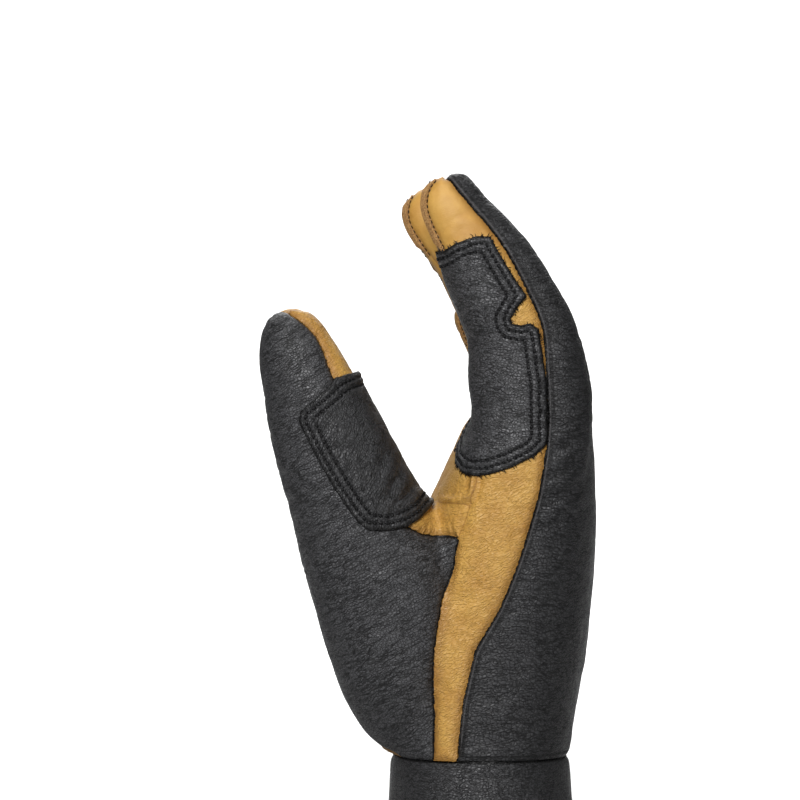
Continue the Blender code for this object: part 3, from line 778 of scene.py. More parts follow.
def walled(skin: Skin, inner: float | Array, outer: float | Array, inset: float | Array,
           rounding: Sequence[tuple[float, float]], values: Array) -> Solid:
    """A closed wall over the skin.

    Args:
        skin: The surface that the wall lies on.
        inner: How far out of the surface the wall's inner face lies.
        outer: How far out of the surface its outer face lies.
        inset: How far the rim is drawn in.
        rounding: Rings of the rim from the outer face to the inner one, each as how far it
            stands out from the rim and its share of the way from the inner to the outer face.
        values: One value for each point of the surface.

    Returns:
        The wall.
    """
    into = skin.inward()
    into[skin.points[:, 2] < TOUCH] = 0.0
    size = len(skin.points)
    base = skin.points + into * np.broadcast_to(inset, size)[:, None]
    low = np.broadcast_to(inner, size)[:, None]
    high = np.broadcast_to(outer, size)[:, None]
    above_floor = (skin.points[:, 2:] > TOUCH) | (np.arange(3) < 2)
    normals = skin.normals * above_floor
    layers = [base + normals * high, base + normals * low]
    rim = skin.rim()
    edge, ring = np.unique(rim, return_inverse=True)
    ring = ring.reshape(-1, 2)
    stages = [rim]
    total = 2 * size
    for out, share in rounding:
        layers.append((base - into * out + normals * (low + (high - low) * share))[edge])
        stages.append(ring + total)
        total += len(edge)
    stages.append(rim + size)
    faces = [skin.triangles, skin.triangles[:, ::-1] + size]
    for above, below in zip(stages, stages[1:]):
        faces.append(np.column_stack([above[:, 1], above[:, 0], below[:, 0]]))
        faces.append(np.column_stack([above[:, 1], below[:, 0], below[:, 1]]))
    spread = np.concatenate([values, values] + [values[edge]] * len(rounding))
    return Solid(np.vstack(layers), np.vstack(faces), spread)


@dataclass(frozen=True)
class Value:
    """A number in a shader, with arithmetic that adds Math nodes."""
    shader: Shader
    socket: bpy.types.NodeSocket

    def math(self, operation: str, *others: Value | float) -> Value:
        """One Math node on this value and up to two others."""
        sockets = {"Value": self, **{f"Value_{k:03d}": v for k, v in enumerate(others, 1)}}
        return Value(self.shader, self.shader.node("ShaderNodeMath", {"operation": operation},
                                                   sockets).outputs[0])

    def __add__(self, other: Value | float) -> Value:
        """Self plus other."""
        return self.math("ADD", other)

    def __mul__(self, other: Value | float) -> Value:
        """Self times other."""
        return self.math("MULTIPLY", other)

    def __sub__(self, other: Value | float) -> Value:
        """Self less other."""
        return self.math("SUBTRACT", other)

    def __rsub__(self, other: float) -> Value:
        """Other less self."""
        return (self * -1.0) + other

    __radd__ = __add__
    __rmul__ = __mul__

    def far_from(self, level: float) -> Value:
        """How far the value lies from a level, either way."""
        return (self - level).math("ABSOLUTE")

    def ramp(self, low: float, high: float) -> Value:
        """0 at low, 1 at high and smooth between them."""
        node = self.shader.node("ShaderNodeMapRange", {"interpolation_type": "SMOOTHSTEP"},
                                {"Value": self, "From Min": low, "From Max": high})
        return Value(self.shader, node.outputs[0])


class Shader:
    """A material's node tree."""

    def __init__(self, name: str) -> None:
        """Starts a material with an empty Principled shader.

        Args:
            name: The material's name.
        """
        self.material = bpy.data.materials.new(name)
        self.material.use_nodes = True
        self.tree = self.material.node_tree
        self.surface = self.tree.nodes["Principled BSDF"]

    def node(self, kind: str, settings: dict[str, object] | None = None,
             sockets: dict[str, object] | None = None) -> bpy.types.Node:
        """Adds a node.

        Args:
            kind: The node's type.
            settings: Its own settings, which are set first.
            sockets: Values or links, by the sockets' names or identifiers.

        Returns:
            The node.
        """
        node = self.tree.nodes.new(kind)
        for name, value in (settings or {}).items():
            setattr(node, name, value)
        self.feed(node, sockets or {})
        return node

    def feed(self, node: bpy.types.Node, sockets: dict[str, object]) -> None:
        """Sets or links the sockets of a node, by name or identifier.

        Args:
            node: The node.
            sockets: A value or a link for each name.
        """
        for name, value in sockets.items():
            socket = next(s for s in node.inputs if name == s.identifier or name == s.name)
            if isinstance(value, Value):
                value = value.socket
            if isinstance(value, bpy.types.NodeSocket):
                self.tree.links.new(value, socket)
            else:
                socket.default_value = value

    def millimetres(self) -> bpy.types.NodeSocket:
        """The place on the glove, in millimetres."""
        place = self.node("ShaderNodeTexCoord").outputs["Object"]
        scaled = self.node("ShaderNodeVectorMath", {"operation": "SCALE"},
                           {"Vector": place, "Scale": 1.0 / MM})
        return scaled.outputs[0]

    def stretched(self, place: bpy.types.NodeSocket, turn: float, sizes: Sequence[float],
                  warp: float = 0.0) -> bpy.types.NodeSocket:
        """Coordinates for a pattern whose marks have a size along each axis.

        Args:
            place: Coordinates in millimetres.
            turn: Angle of the marks, in degrees up from the horizontal, seen from the thumb side.
            sizes: The marks' size along the mark, in depth and across the mark.
            warp: How far the marks wander, in millimetres.

        Returns:
            The coordinates.
        """
        if warp:
            wander = self.node("ShaderNodeTexNoise", {}, {"Vector": place, "Scale": 0.35, "Detail": 1.0})
            moved = self.node("ShaderNodeVectorMath", {"operation": "MULTIPLY_ADD"},
                              {"Vector": wander.outputs["Color"], "Vector_001": (warp,) * 3,
                               "Vector_002": place})
            place = moved.outputs[0]
        turned = self.node("ShaderNodeVectorRotate", {"rotation_type": "Y_AXIS"},
                           {"Vector": place, "Angle": math.radians(turn)})
        sized = self.node("ShaderNodeVectorMath", {"operation": "MULTIPLY"},
                          {"Vector": turned.outputs[0], "Vector_001": [1.0 / s for s in sizes]})
        return sized.outputs[0]

    def noise(self, place: bpy.types.NodeSocket, scale: float = 1.0, detail: float = 2.0,
              roughness: float = 0.5) -> Value:
        """Smooth noise from 0 to 1; one unit over the scale is about one mark.

        Args:
            place: Where it is read.
            scale: Marks a unit.
            detail: How many finer layers it has.
            roughness: How strong those are.

        Returns:
            The noise.
        """
        node = self.node("ShaderNodeTexNoise", {}, {"Vector": place, "Scale": scale, "Detail": detail,
                                                    "Roughness": roughness})
        return Value(self, node.outputs[0])

    def cells(self, place: bpy.types.NodeSocket) -> Value:
        """Distance from the border of scattered cells, one unit each."""
        node = self.node("ShaderNodeTexVoronoi", {"feature": "DISTANCE_TO_EDGE"},
                         {"Vector": place, "Scale": 1.0})
        return Value(self, node.outputs[0])

    def axis(self, place: bpy.types.NodeSocket, number: int) -> Value:
        """One coordinate of a place: 0 for X, 1 for Y and 2 for Z."""
        return Value(self, self.node("ShaderNodeSeparateXYZ", {}, {"Vector": place}).outputs[number])

    def attribute(self, name: str) -> Value:
        """A value that is stored on the mesh's points."""
        return Value(self, self.node("ShaderNodeAttribute", {"attribute_name": name}).outputs["Fac"])

    def mix(self, share: Value, low: object, high: object) -> bpy.types.NodeSocket:
        """A colour between two others."""
        node = self.node("ShaderNodeMix", {"data_type": "RGBA"},
                         {"Factor_Float": share, "A_Color": low, "B_Color": high})
        return next(s for s in node.outputs if s.identifier == "Result_Color")

    def bump(self, height: Value, distance: float,
             under: bpy.types.NodeSocket | None = None) -> bpy.types.NodeSocket:
        """A surface direction bent by a height, in metres for a height of one.

        Args:
            height: The relief.
            distance: Metres for a height of one.
            under: A relief that lies below it.

        Returns:
            The direction.
        """
        sockets = {"Height": height, "Distance": distance}
        if under is not None:
            sockets["Normal"] = under
        return self.node("ShaderNodeBump", {}, sockets).outputs[0]


def rgb(red: float, green: float, blue: float) -> tuple[float, float, float, float]:
    """A shader colour from the 0 to 255 values of a screen colour."""
    return (*((value / 255.0) ** 2.2 for value in (red, green, blue)), 1.0)


class Grain(Enum):
    """How a hide looks: its paleness, which paints each panel lighter or darker for the light that falls on
    it, its creases' angle in degrees, and their sizes in mm.
    """
    ACROSS = (0.46, 3.0, 7.5, 5.0, 1.10)
    RISING = (0.80, 28.0, 8.5, 4.5, 0.90)
    FINE = (0.48, 8.0, 4.0, 3.0, 0.95)
    SLANTED = (0.44, 62.0, 6.0, 3.5, 0.90)
    LEVEL = (0.84, -8.0, 5.0, 3.0, 0.90)


@dataclass(frozen=True)
class BlackLeather:
    """Charcoal leather with drawn creases between small pebbles, and a satin shine."""
    name: str = "black_leather"
    deep: tuple[float, ...] = rgb(3, 3, 3)
    light: tuple[float, ...] = rgb(80, 80, 82)
    worn: tuple[float, ...] = rgb(58, 57, 58)
    pebble: float = 0.70
    crease_depth: float = 0.00020
    pebble_depth: float = 0.00012
    roughness: float = 0.58
    specular: float = 0.38
    row_shade_strength: float = 0.6
    row_shade_roughness: float = 0.3

    def material(self, grain: Grain, rows: Sequence[float] = ()) -> bpy.types.Material:
        """The material with its creases along one direction.

        Args:
            grain: How the creases run.
            rows: Where lines of painted shade darken it, in the stitch grooves and in the valley beside the
                back panel's lip, as distances from the edge in metres.

        Returns:
            The material.
        """
        shader = Shader(f"{self.name}_{grain.name.lower()}")
        # pale is painted light and shade: it makes each panel's leather lighter or darker for the light
        # that falls on it.
        pale, turn, *sizes = grain.value
        place = shader.millimetres()
        drawn = shader.stretched(place, turn, sizes, warp=2.0)
        lines = shader.noise(drawn, 1.0, 1.0, 0.5).far_from(0.5).ramp(0.0, 0.075)
        pebbles = shader.cells(shader.stretched(place, turn, self.pebbles(sizes), 0.9)).ramp(0.0, 0.22)
        soft = shader.noise(place, 0.16, 2.0)
        height = shader.bump(pebbles, self.pebble_depth)
        height = shader.bump(lines * (soft.ramp(0.25, 0.7) * 0.7 + 0.3), self.crease_depth, height)
        # Painted shade: the colour goes dark in the drawn creases and between the pebbles, partly the
        # grain's own tone, and pale scales it for each panel's painted light.
        colour = shader.mix((lines * 0.8 + 0.2) * (pebbles * 0.75 + 0.25) * pale, self.deep, self.light)
        near = shader.attribute("seam")
        # Painted shade: the leather goes dark in the seam valleys and along a patch's cut edge.
        colour = shader.mix(1.0 - near.ramp(0.2, 0.9), colour, self.deep)
        # Painted highlight: the back panel's rolled lip, whose seam value is below zero, is painted a paler
        # grey.
        colour = shader.mix(near.ramp(-0.2, -0.6), colour, self.worn)
        rough = self.roughness - pebbles * 0.10 - lines * 0.08 + soft * 0.10
        for row in rows:
            # Painted shade: a dark, rougher line along each row, standing in for the shade in the stitch
            # grooves and beside the back lip.
            painted_row_shade = (1.0 - near.far_from(row / MM).ramp(0.2, 0.7)) * self.row_shade_strength
            colour = shader.mix(painted_row_shade, colour, self.deep)
            rough = rough + painted_row_shade * self.row_shade_roughness
        shader.feed(shader.surface, {
            "Base Color": colour,
            "Roughness": rough,
            "Normal": height,
            "Specular IOR Level": self.specular,
        })
        return shader.material

    def pebbles(self, sizes: Sequence[float]) -> list[float]:
        """The size of the pebbles that lie between creases of some size, in millimetres."""
        return [share * sizes[2] * self.pebble for share in (1.7, 1.6, 1.2)]


@dataclass(frozen=True)
class TanLeather:
    """Golden tan leather, wrinkled where it is slack, smooth at the tips, browner by its seams."""
    name: str = "tan_leather"
    body: tuple[float, ...] = rgb(188, 147, 75)
    deep: tuple[float, ...] = rgb(161, 117, 52)
    brown: tuple[float, ...] = rgb(112, 70, 30)
    angle: float = 24.0
    wrinkle_size: tuple[float, ...] = (2.6, 2.0, 0.80)
    wrinkle_depth: float = 0.00014
    pore_size: tuple[float, ...] = (1.5, 1.2, 0.70)
    pore_depth: float = 0.00008
    roughness: float = 0.60
    specular: float = 0.5
    seam_reach: float = 4.0
    taut: tuple[float, float] = (222.0, 236.0)

    def material(self) -> bpy.types.Material:
        """Makes the material.

        Returns:
            The material.
        """
        shader = Shader(self.name)
        place = shader.millimetres()
        drawn = shader.stretched(place, self.angle, self.wrinkle_size, warp=1.6)
        taut = 1.0 - shader.axis(place, 2).ramp(*self.taut) * 0.85
        wrinkles = shader.noise(drawn, 1.0, 1.5, 0.55).far_from(0.5).ramp(0.0, 0.09) * taut
        pores = shader.cells(shader.stretched(place, self.angle, self.pore_size, 0.8))
        pores = pores.ramp(0.0, 0.28) * taut
        clouds = shader.noise(place, 0.11, 3.0)
        fine = shader.noise(place, 1.1, 3.0, 0.65)
        normal = shader.bump(wrinkles, self.wrinkle_depth, shader.bump(pores, self.pore_depth))
        colour = shader.mix(clouds.ramp(0.3, 0.75) * 0.75 + fine * 0.25, self.body, self.deep)
        # Painted shade: darker in the wrinkle creases and along the pore lines, partly the grain's own
        # tone.
        colour = shader.mix((taut - wrinkles) * 0.30 + (taut - pores) * 0.2, colour, self.deep)
        near = 1.0 - shader.attribute("seam").ramp(0.2, self.seam_reach)
        colour = shader.mix(near * (fine * 0.5 + 0.2), colour, self.brown)
        shader.feed(shader.surface, {
            "Base Color": colour,
            "Roughness": self.roughness - wrinkles * 0.07 - pores * 0.07 + clouds * 0.06,
            "Normal": normal,
            "Specular IOR Level": self.specular,
        })
        return shader.material


@dataclass(frozen=True)
class RawEdge:
    """Cut leather edge: two matt brown plies with a fibrous face."""
    name: str = "raw_edge"
    body: tuple[float, ...] = rgb(176, 138, 86)
    brown: tuple[float, ...] = rgb(104, 68, 36)
    fibre_depth: float = 0.00025
    roughness: float = 0.75

    def material(self) -> bpy.types.Material:
        """Makes the material.

        Returns:
            The material.
        """
        shader = Shader(self.name)
        place = shader.millimetres()
        fibres = shader.noise(place, 2.6, 3.0, 0.7)
        shader.feed(shader.surface, {
            "Base Color": shader.mix(fibres.ramp(0.3, 0.7), self.body, self.brown),
            "Roughness": self.roughness + fibres * 0.15,
            "Normal": shader.bump(fibres, self.fibre_depth),
        })
        return shader.material


@dataclass(frozen=True)
class Thread:
    """Black twisted sewing thread with pale glints."""
    name: str = "black_thread"
    body: tuple[float, ...] = rgb(9, 9, 10)
    glint: tuple[float, ...] = rgb(96, 96, 98)
    twist_depth: float = 0.00012
    roughness: float = 0.65
    specular: float = 0.15

    def material(self) -> bpy.types.Material:
        """Makes the material.

        Returns:
            The material.
        """
        shader = Shader(self.name)
        place = shader.millimetres()
        strands = shader.noise(place, 3.2, 2.0, 0.6)
        shader.feed(shader.surface, {
            "Base Color": shader.mix(strands.ramp(0.56, 0.7) * 0.6, self.body, self.glint),
            "Roughness": self.roughness - strands * 0.2,
            "Normal": shader.bump(strands, self.twist_depth),
            "Specular IOR Level": self.specular,
        })
        return shader.material


@dataclass(frozen=True)
class Fold:
    """A crease or a low ridge drawn on the thumb side of the glove; sizes in metres."""
    start: Spot
    end: Spot
    depth: float
    width: float = 0.0016


FOLDS = (
    # Joints of the index finger, across its patch
    Fold(Spot(1.124, -0.150), Spot(1.139, -0.040), 0.0011, 0.0018),
    Fold(Spot(1.161, -0.160), Spot(1.166, -0.050), 0.0006),
    Fold(Spot(1.010, -0.150), Spot(1.030, -0.040), 0.0009, 0.0024),
    Fold(Spot(1.085, -0.160), Spot(1.096, -0.080), 0.0005),
    # Joint of the thumb
    Fold(Spot(0.889, -1.180), Spot(0.884, -1.060), 0.0009, 0.0018),
    Fold(Spot(0.845, -1.150), Spot(0.842, -1.010), 0.0006),
    Fold(Spot(0.871, -1.130), Spot(0.868, -0.800), 0.0005),
    # Inner side of the thumb, across its patch
    Fold(Spot(0.905, -0.540), Spot(0.850, -0.600), 0.0008),
    Fold(Spot(0.875, -0.470), Spot(0.842, -0.545), 0.0007),
    Fold(Spot(0.940, -0.620), Spot(0.880, -0.650), 0.0005),
    # Crotch, with low ridges at its seams
    Fold(Spot(0.850, -0.160), Spot(0.785, -0.228), 0.0006, 0.0020),
    Fold(Spot(0.900, -0.140), Spot(0.866, -0.145), -0.0012, 0.0009),
    Fold(Spot(0.873, -0.142), Spot(0.851, -0.168), -0.0012, 0.0009),
    Fold(Spot(0.856, -0.160), Spot(0.849, -0.205), -0.0012, 0.0009),
    Fold(Spot(0.850, -0.190), Spot(0.849, -0.310), -0.0008, 0.0009),
    # Puckers over the seam between crotch and thumb base
    Fold(Spot(0.806, -0.400), Spot(0.794, -0.404), 0.0005, 0.0006),
    Fold(Spot(0.812, -0.372), Spot(0.790, -0.376), 0.0006, 0.0006),
    Fold(Spot(0.806, -0.345), Spot(0.788, -0.348), 0.0006, 0.0006),
    Fold(Spot(0.812, -0.318), Spot(0.787, -0.320), 0.0006, 0.0006),
    Fold(Spot(0.805, -0.290), Spot(0.786, -0.292), 0.0005, 0.0006),
    Fold(Spot(0.810, -0.262), Spot(0.785, -0.263), 0.0005, 0.0006),
    Fold(Spot(0.885, -0.180), Spot(0.860, -0.230), 0.0003, 0.0010),
    # Knuckle of the index finger
    Fold(Spot(0.926, 0.262), Spot(0.969, 0.478), 0.0007, 0.0015),
    Fold(Spot(0.883, 0.248), Spot(0.921, 0.451), 0.0006, 0.0015),
    Fold(Spot(0.841, 0.220), Spot(0.875, 0.451), 0.0007, 0.0017),
    Fold(Spot(0.800, 0.190), Spot(0.822, 0.400), 0.0004, 0.0015),
    # Strip, thumb base and wrist
    Fold(Spot(0.660, -0.220), Spot(0.700, -0.130), 0.0004),
    Fold(Spot(0.560, -0.700), Spot(0.600, -0.420), 0.0003, 0.0030),
    Fold(Spot(0.420, -0.360), Spot(0.450, 0.300), 0.0006, 0.0030),
    Fold(Spot(0.455, -0.200), Spot(0.480, 0.360), 0.0004, 0.0026),
)


@dataclass(frozen=True)
class Bulge:
    """A place where a finger's palm side stands out or falls back; heights are shares."""
    finger: int
    height: float
    reach: float
    rise: float
    behind: float = -0.60


BULGES = (
    Bulge(0, 1.19, 0.07, 0.0010),
    Bulge(1, 1.17, 0.07, -0.0014),
)


@dataclass
class GloveForm:
    """The padded form of the glove: its driving sizes in metres and its fineness."""
    hand_height: float = 0.186
    hand_depth: float = 0.060
    hand_width: float = 0.104
    cuff_top: float = 0.074
    knuckle_rise: float = 0.003
    finger_depth: float = 0.0376
    splay: float = math.radians(3.2)
    web_blend: float = 0.012
    web_steepness: float = 9.0
    curl_drop: float = 0.5
    finger_square: float = 2.25
    thumb_square: float = 2.15
    thumb_rise: float = 0.0328
    thumb_length: float = 0.150
    thumb_depth: float = 0.052
    thumb_width: float = 0.048
    ring_points: int = 72
    loft_steps: int = 8
    voxel: float = 0.0009
    smoothing: int = 38

    @property
    def finger_base(self) -> float:
        """Height of the roots of the fingers."""
        return self.hand_height + self.knuckle_rise

    @property
    def thumb_tip(self) -> float:
        """Height of the thumb's tip."""
        return self.hand_height + self.thumb_rise

    def shift(self) -> Array:
        """How far the form moves to stand where the frame's cuff stands.

        Returns:
            The way along each axis.
        """
        low, high = (np.array(corner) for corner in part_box("cuff"))
        hem = HAND_ROWS[1]
        own = np.array([0.5 * (hem.palm + hem.back) * self.hand_depth,
                        0.5 * (hem.near + hem.far) * self.hand_width, 0.0])
        return (0.5 * (low + high) - own) * (1, 1, 0)

    def at(self, spots: Sequence[Spot]) -> Array:
        """The heights and depths of spots, in metres."""
        return np.array(spots).reshape(-1, 2) * (self.hand_height, self.hand_depth)

    def resampled(self, rows: Sequence[Sequence[float]]) -> Array:
        """A section table with smooth steps between each two rows."""
        table = np.array(rows, float)
        places = np.linspace(0, len(rows) - 1, (len(rows) - 1) * self.loft_steps + 1)
        return np.column_stack([spline(np.arange(len(rows)), column, places) for column in table.T])

    def section(self, centre: Sequence[float], tilt: float, half: Sequence[float],
                square: float) -> Array:
        """One closed section.

        Args:
            centre: Its middle.
            tilt: How far its depth is tipped up, in radians.
            half: Half its depth and half its width.
            square: 2 for an ellipse and more for a flatter outline.

        Returns:
            Its points.
        """
        turn = np.linspace(0, 2 * math.pi, self.ring_points, endpoint=False)
        deep = np.sign(np.cos(turn)) * np.abs(np.cos(turn)) ** (2 / square) * half[0]
        wide = np.sign(np.sin(turn)) * np.abs(np.sin(turn)) ** (2 / square) * half[1]
        return np.column_stack([centre[0] + deep * math.cos(tilt), centre[1] + wide,
                                centre[2] + deep * math.sin(tilt)])

    def finger_line(self, finger: Finger) -> tuple[Array, ...]:
        """Centre, tilt, half depth and half width of each section of a finger.

        Args:
            finger: The finger.

        Returns:
            The three coordinates of the centres, the tilts and the two sizes.
        """
        forward, up, tilt, depth, width = self.resampled([row[:5] for row in FINGER_ROWS]).T
        bend = finger.curl * np.clip(up, 0, None) ** 2
        x = finger.base_x * self.hand_depth - (forward + bend) * finger.length
        z = self.finger_base - finger.base_drop * self.hand_height
        z = z + (up - self.curl_drop * bend) * finger.length
        lean = math.tan(self.splay) * finger.side / abs(FINGERS[0].side)
        y = finger.side * self.hand_width + lean * up * finger.length
        tilt = np.radians(tilt) + np.arctan(2 * finger.curl * np.clip(up, 0, None))
        size = 0.5 * self.finger_depth * finger.width / FINGERS[0].width
        return x, y, z, tilt, depth * size, width * 0.5 * finger.width

    def finger_seams(self, finger: Finger) -> tuple[tuple[Array, Array], ...]:
        """Reads the lines that run along a finger.

        Args:
            finger: The finger.

        Returns:
            Heights and depths of its back and palm seam, and heights and sides of its middle.
        """
        x, y, z, tilt, depth, _ = self.finger_line(finger)
        back, palm = self.resampled([row[5:] for row in FINGER_ROWS]).T
        back = np.where(np.arange(len(back)) > 0.5 * len(back), np.maximum(back, finger.least_seam), back)
        lines = []
        for share in (back, palm):
            heights = z + share * depth * np.sin(tilt)
            order = np.argsort(heights)
            lines.append((heights[order], (x + share * depth * np.cos(tilt))[order]))
        return lines[0], lines[1], (z, y)

    def lofts(self) -> list[Array]:
        """The sections of the hand, the thumb and the fingers.

        Returns:
            One stack of sections for each of them.
        """
        hand, thumb = [], []
        for height, palm, back, near, far, square in self.resampled(HAND_ROWS):
            centre = (0.5 * (palm + back) * self.hand_depth, 0.5 * (near + far) * self.hand_width,
                      height * self.hand_height)
            half = (0.5 * (back - palm) * self.hand_depth, 0.5 * (far - near) * self.hand_width)
            hand.append(self.section(centre, 0.0, half, square))
        for x, drop, tilt, depth, side, width in self.resampled(THUMB_ROWS[::-1]):
            centre = (x * self.hand_depth, side * self.hand_width,
                      self.thumb_tip - drop * self.thumb_length)
            half = (0.5 * depth * self.thumb_depth, 0.5 * width * self.thumb_width)
            thumb.append(self.section(centre, math.radians(tilt), half, self.thumb_square))
        fingers = [[self.section((x, y, z), tilt, (depth, width), self.finger_square)
                    for x, y, z, tilt, depth, width in zip(*self.finger_line(finger))]
                   for finger in FINGERS]
        return [np.array(rings) for rings in (hand, thumb, *fingers)]

    def skin(self) -> Skin:
        """The glove's whole outer skin, open at the hem.

        Returns:
            The skin, one voxel fine.
        """
        shape = bmesh.new()
        for rings in self.lofts():
            rows = [[shape.verts.new(point) for point in ring] for ring in rings]
            for low, high in zip(rows, rows[1:]):
                for i in range(self.ring_points):
                    j = (i + 1) % self.ring_points
                    shape.faces.new((low[i], low[j], high[j], high[i]))
            shape.faces.new(rows[0][::-1])
            shape.faces.new(rows[-1])
        bmesh.ops.recalc_face_normals(shape, faces=shape.faces[:])
        mesh = bpy.data.meshes.new("form")
        shape.to_mesh(mesh)
        shape.free()
        guide = bpy.data.objects.new("form", mesh)
        bpy.context.scene.collection.objects.link(guide)
        remesh = guide.modifiers.new("remesh", "REMESH")
        remesh.mode = "VOXEL"
        remesh.voxel_size = self.voxel
        smooth = guide.modifiers.new("smooth", "SMOOTH")
        smooth.factor = 0.5
        smooth.iterations = self.smoothing
        fine = bpy.data.meshes.new_from_object(guide.evaluated_get(bpy.context.evaluated_depsgraph_get()))
        bpy.data.objects.remove(guide)
        fine.calc_loop_triangles()
        points = np.empty(len(fine.vertices) * 3, np.float32)
        fine.vertices.foreach_get("co", points)
        triangles = np.empty(len(fine.loop_triangles) * 3, np.int32)
        fine.loop_triangles.foreach_get("vertices", triangles)
        bpy.data.meshes.remove(fine)
        closed = Skin(points.reshape(-1, 3).astype(float), triangles.reshape(-1, 3).astype(np.int64))
        cut = part(closed, lambda places: (places[:, 2] > 0).astype(int))
        skin, _ = cut.skin.select(cut.labels == 1)
        skin.points[np.unique(skin.rim()), 2] = 0.0
        return skin


@dataclass
class Seams:
    """Where the seams run, read from the tables."""
    form: GloveForm
    seam_turn: float = 0.90
    root_height: float = 0.784
    root_slope: float = 0.360
    front_reach: float = -0.120
    fork_base: float = 0.860
    index_split: float = 0.930
    lines: list[tuple[tuple[Array, Array], ...]] = field(default_factory=list)

    def __post_init__(self) -> None:
        """Reads the fingers' own seams."""
        self.lines = [self.form.finger_seams(finger) for finger in FINGERS]

    def x(self, spots: Sequence[Spot], z: Array) -> Array:
        """The depth of a seam of the hand at some heights."""
        return np.interp(z, *self.form.at(spots).T)

    def middles(self, z: Array) -> list[Array]:
        """The side of each finger's middle at some heights."""
        return [np.interp(z, *middle) for _, _, middle in self.lines]

    def across(self, which: int, near: Sequence[Spot], far: Sequence[Spot], y: Array,
               z: Array) -> Array:
        """The depth of a seam surface that runs from finger to finger and down the hand.

        Args:
            which: 0 for the back seam and 1 for the palm seam.
            near: The seam on the hand's near side.
            far: The seam on its far side.
            y: The sides of the places.
            z: Their heights.

        Returns:
            The seam's depth at each place.
        """
        form, middles, spots = self.form, self.middles(z), []
        for number, lines in enumerate(self.lines):
            share = number / (len(self.lines) - 1)
            low = (1 - share) * self.x(near, z) + share * self.x(far, z)
            start = form.finger_base - form.web_blend - FINGERS[number].base_drop * form.hand_height
            mix = np.clip((z - start) / form.web_blend, 0, 1)
            spots.append((1 - mix) * low + mix * np.interp(z, *lines[which]))
        found = spots[0].copy()
        steep = 1 + form.web_steepness * np.clip((z - form.finger_base) / form.web_blend, 0, 1)
        for k in range(len(self.lines) - 1):
            t = (y - middles[k]) / (middles[k + 1] - middles[k])
            t = np.clip(0.5 + (t - 0.5) * steep, 0, 1)
            found = np.where(y > middles[k], (1 - t) * spots[k] + t * spots[k + 1], found)
        return found

    def panels(self, points: Array) -> Array:
        """The number of the panel that each point belongs to.

        Args:
            points: Places on the form.

        Returns:
            One place in PANELS a point.
        """
        form = self.form
        x, y, z = points.T
        back = x > self.across(0, BACK_SEAM_NEAR, BACK_SEAM_FAR, y, z)
        side = x > self.across(1, SIDE_SEAM, SIDE_SEAM, y, z)
        near_side = self.x(THUMB_NEAR_SIDE, z) * form.hand_width / form.hand_depth
        thumb = x < self.x(THUMB_SEAM, z) - self.seam_turn * np.maximum(y - near_side, 0.0)
        front = self.x(THUMB_FRONT_EDGE, z)
        root = z - self.root_height * form.hand_height + self.root_slope * (front - x)
        inner = (x < front) & (root > 0) & (y < self.front_reach * form.hand_width) & (z < form.thumb_tip)
        middles = self.middles(z)
        label = np.full(len(points), PANELS.index(Panel.PALM))
        for k, fork in enumerate(FORKS):
            gap = side & (z > self.fork_base * form.hand_height) & (y > middles[k]) & (y < middles[k + 1])
            label[gap] = PANELS.index(fork)
        split = np.where(z > self.index_split * form.hand_height, middles[0], 0.0)
        label[side & (y < split)] = PANELS.index(Panel.INDEX_SIDE)
        label[inner] = PANELS.index(Panel.THUMB_FRONT)
        label[back] = PANELS.index(Panel.BACK)
        label[thumb] = PANELS.index(Panel.THUMB)
        label[z < form.cuff_top] = PANELS.index(Panel.CUFF)
        return label

    def inside(self, spots: Sequence[Spot], points: Array) -> Array:
        """Whether each point lies inside an outline drawn from the thumb side.

        Args:
            spots: The outline.
            points: Places on the form.

        Returns:
            True for each point inside.
        """
        outline = self.form.at(spots)
        z, x = points[:, 2], points[:, 0]
        found = np.zeros(len(points), bool)
        for (z0, x0), (z1, x1) in zip(outline, np.roll(outline, -1, axis=0)):
            if z0 != z1:
                found ^= ((z0 > z) != (z1 > z)) & (x < x0 + (z - z0) * (x1 - x0) / (z1 - z0))
        return found

    def index_patch(self, points: Array) -> Array:
        """1 where the index finger's patch lies."""
        reach = self.middles(points[:, 2])[0] + IndexPatch.reach * self.form.hand_width
        return (self.inside(INDEX_PATCH, points) & (points[:, 1] < reach)).astype(int)

    def thumb_patch(self, points: Array) -> Array:
        """1 where the thumb's patch lies.

        Args:
            points: Places on the form.

        Returns:
            0 or 1 for each point.
        """
        form = self.form
        middle = np.interp(form.thumb_tip - points[:, 2],
                           [row.drop * form.thumb_length for row in THUMB_ROWS],
                           [row.side * form.hand_width for row in THUMB_ROWS])
        reach = middle + ThumbPatch.reach * form.hand_width
        return (self.inside(THUMB_PATCH, points) & (points[:, 1] < reach)).astype(int)


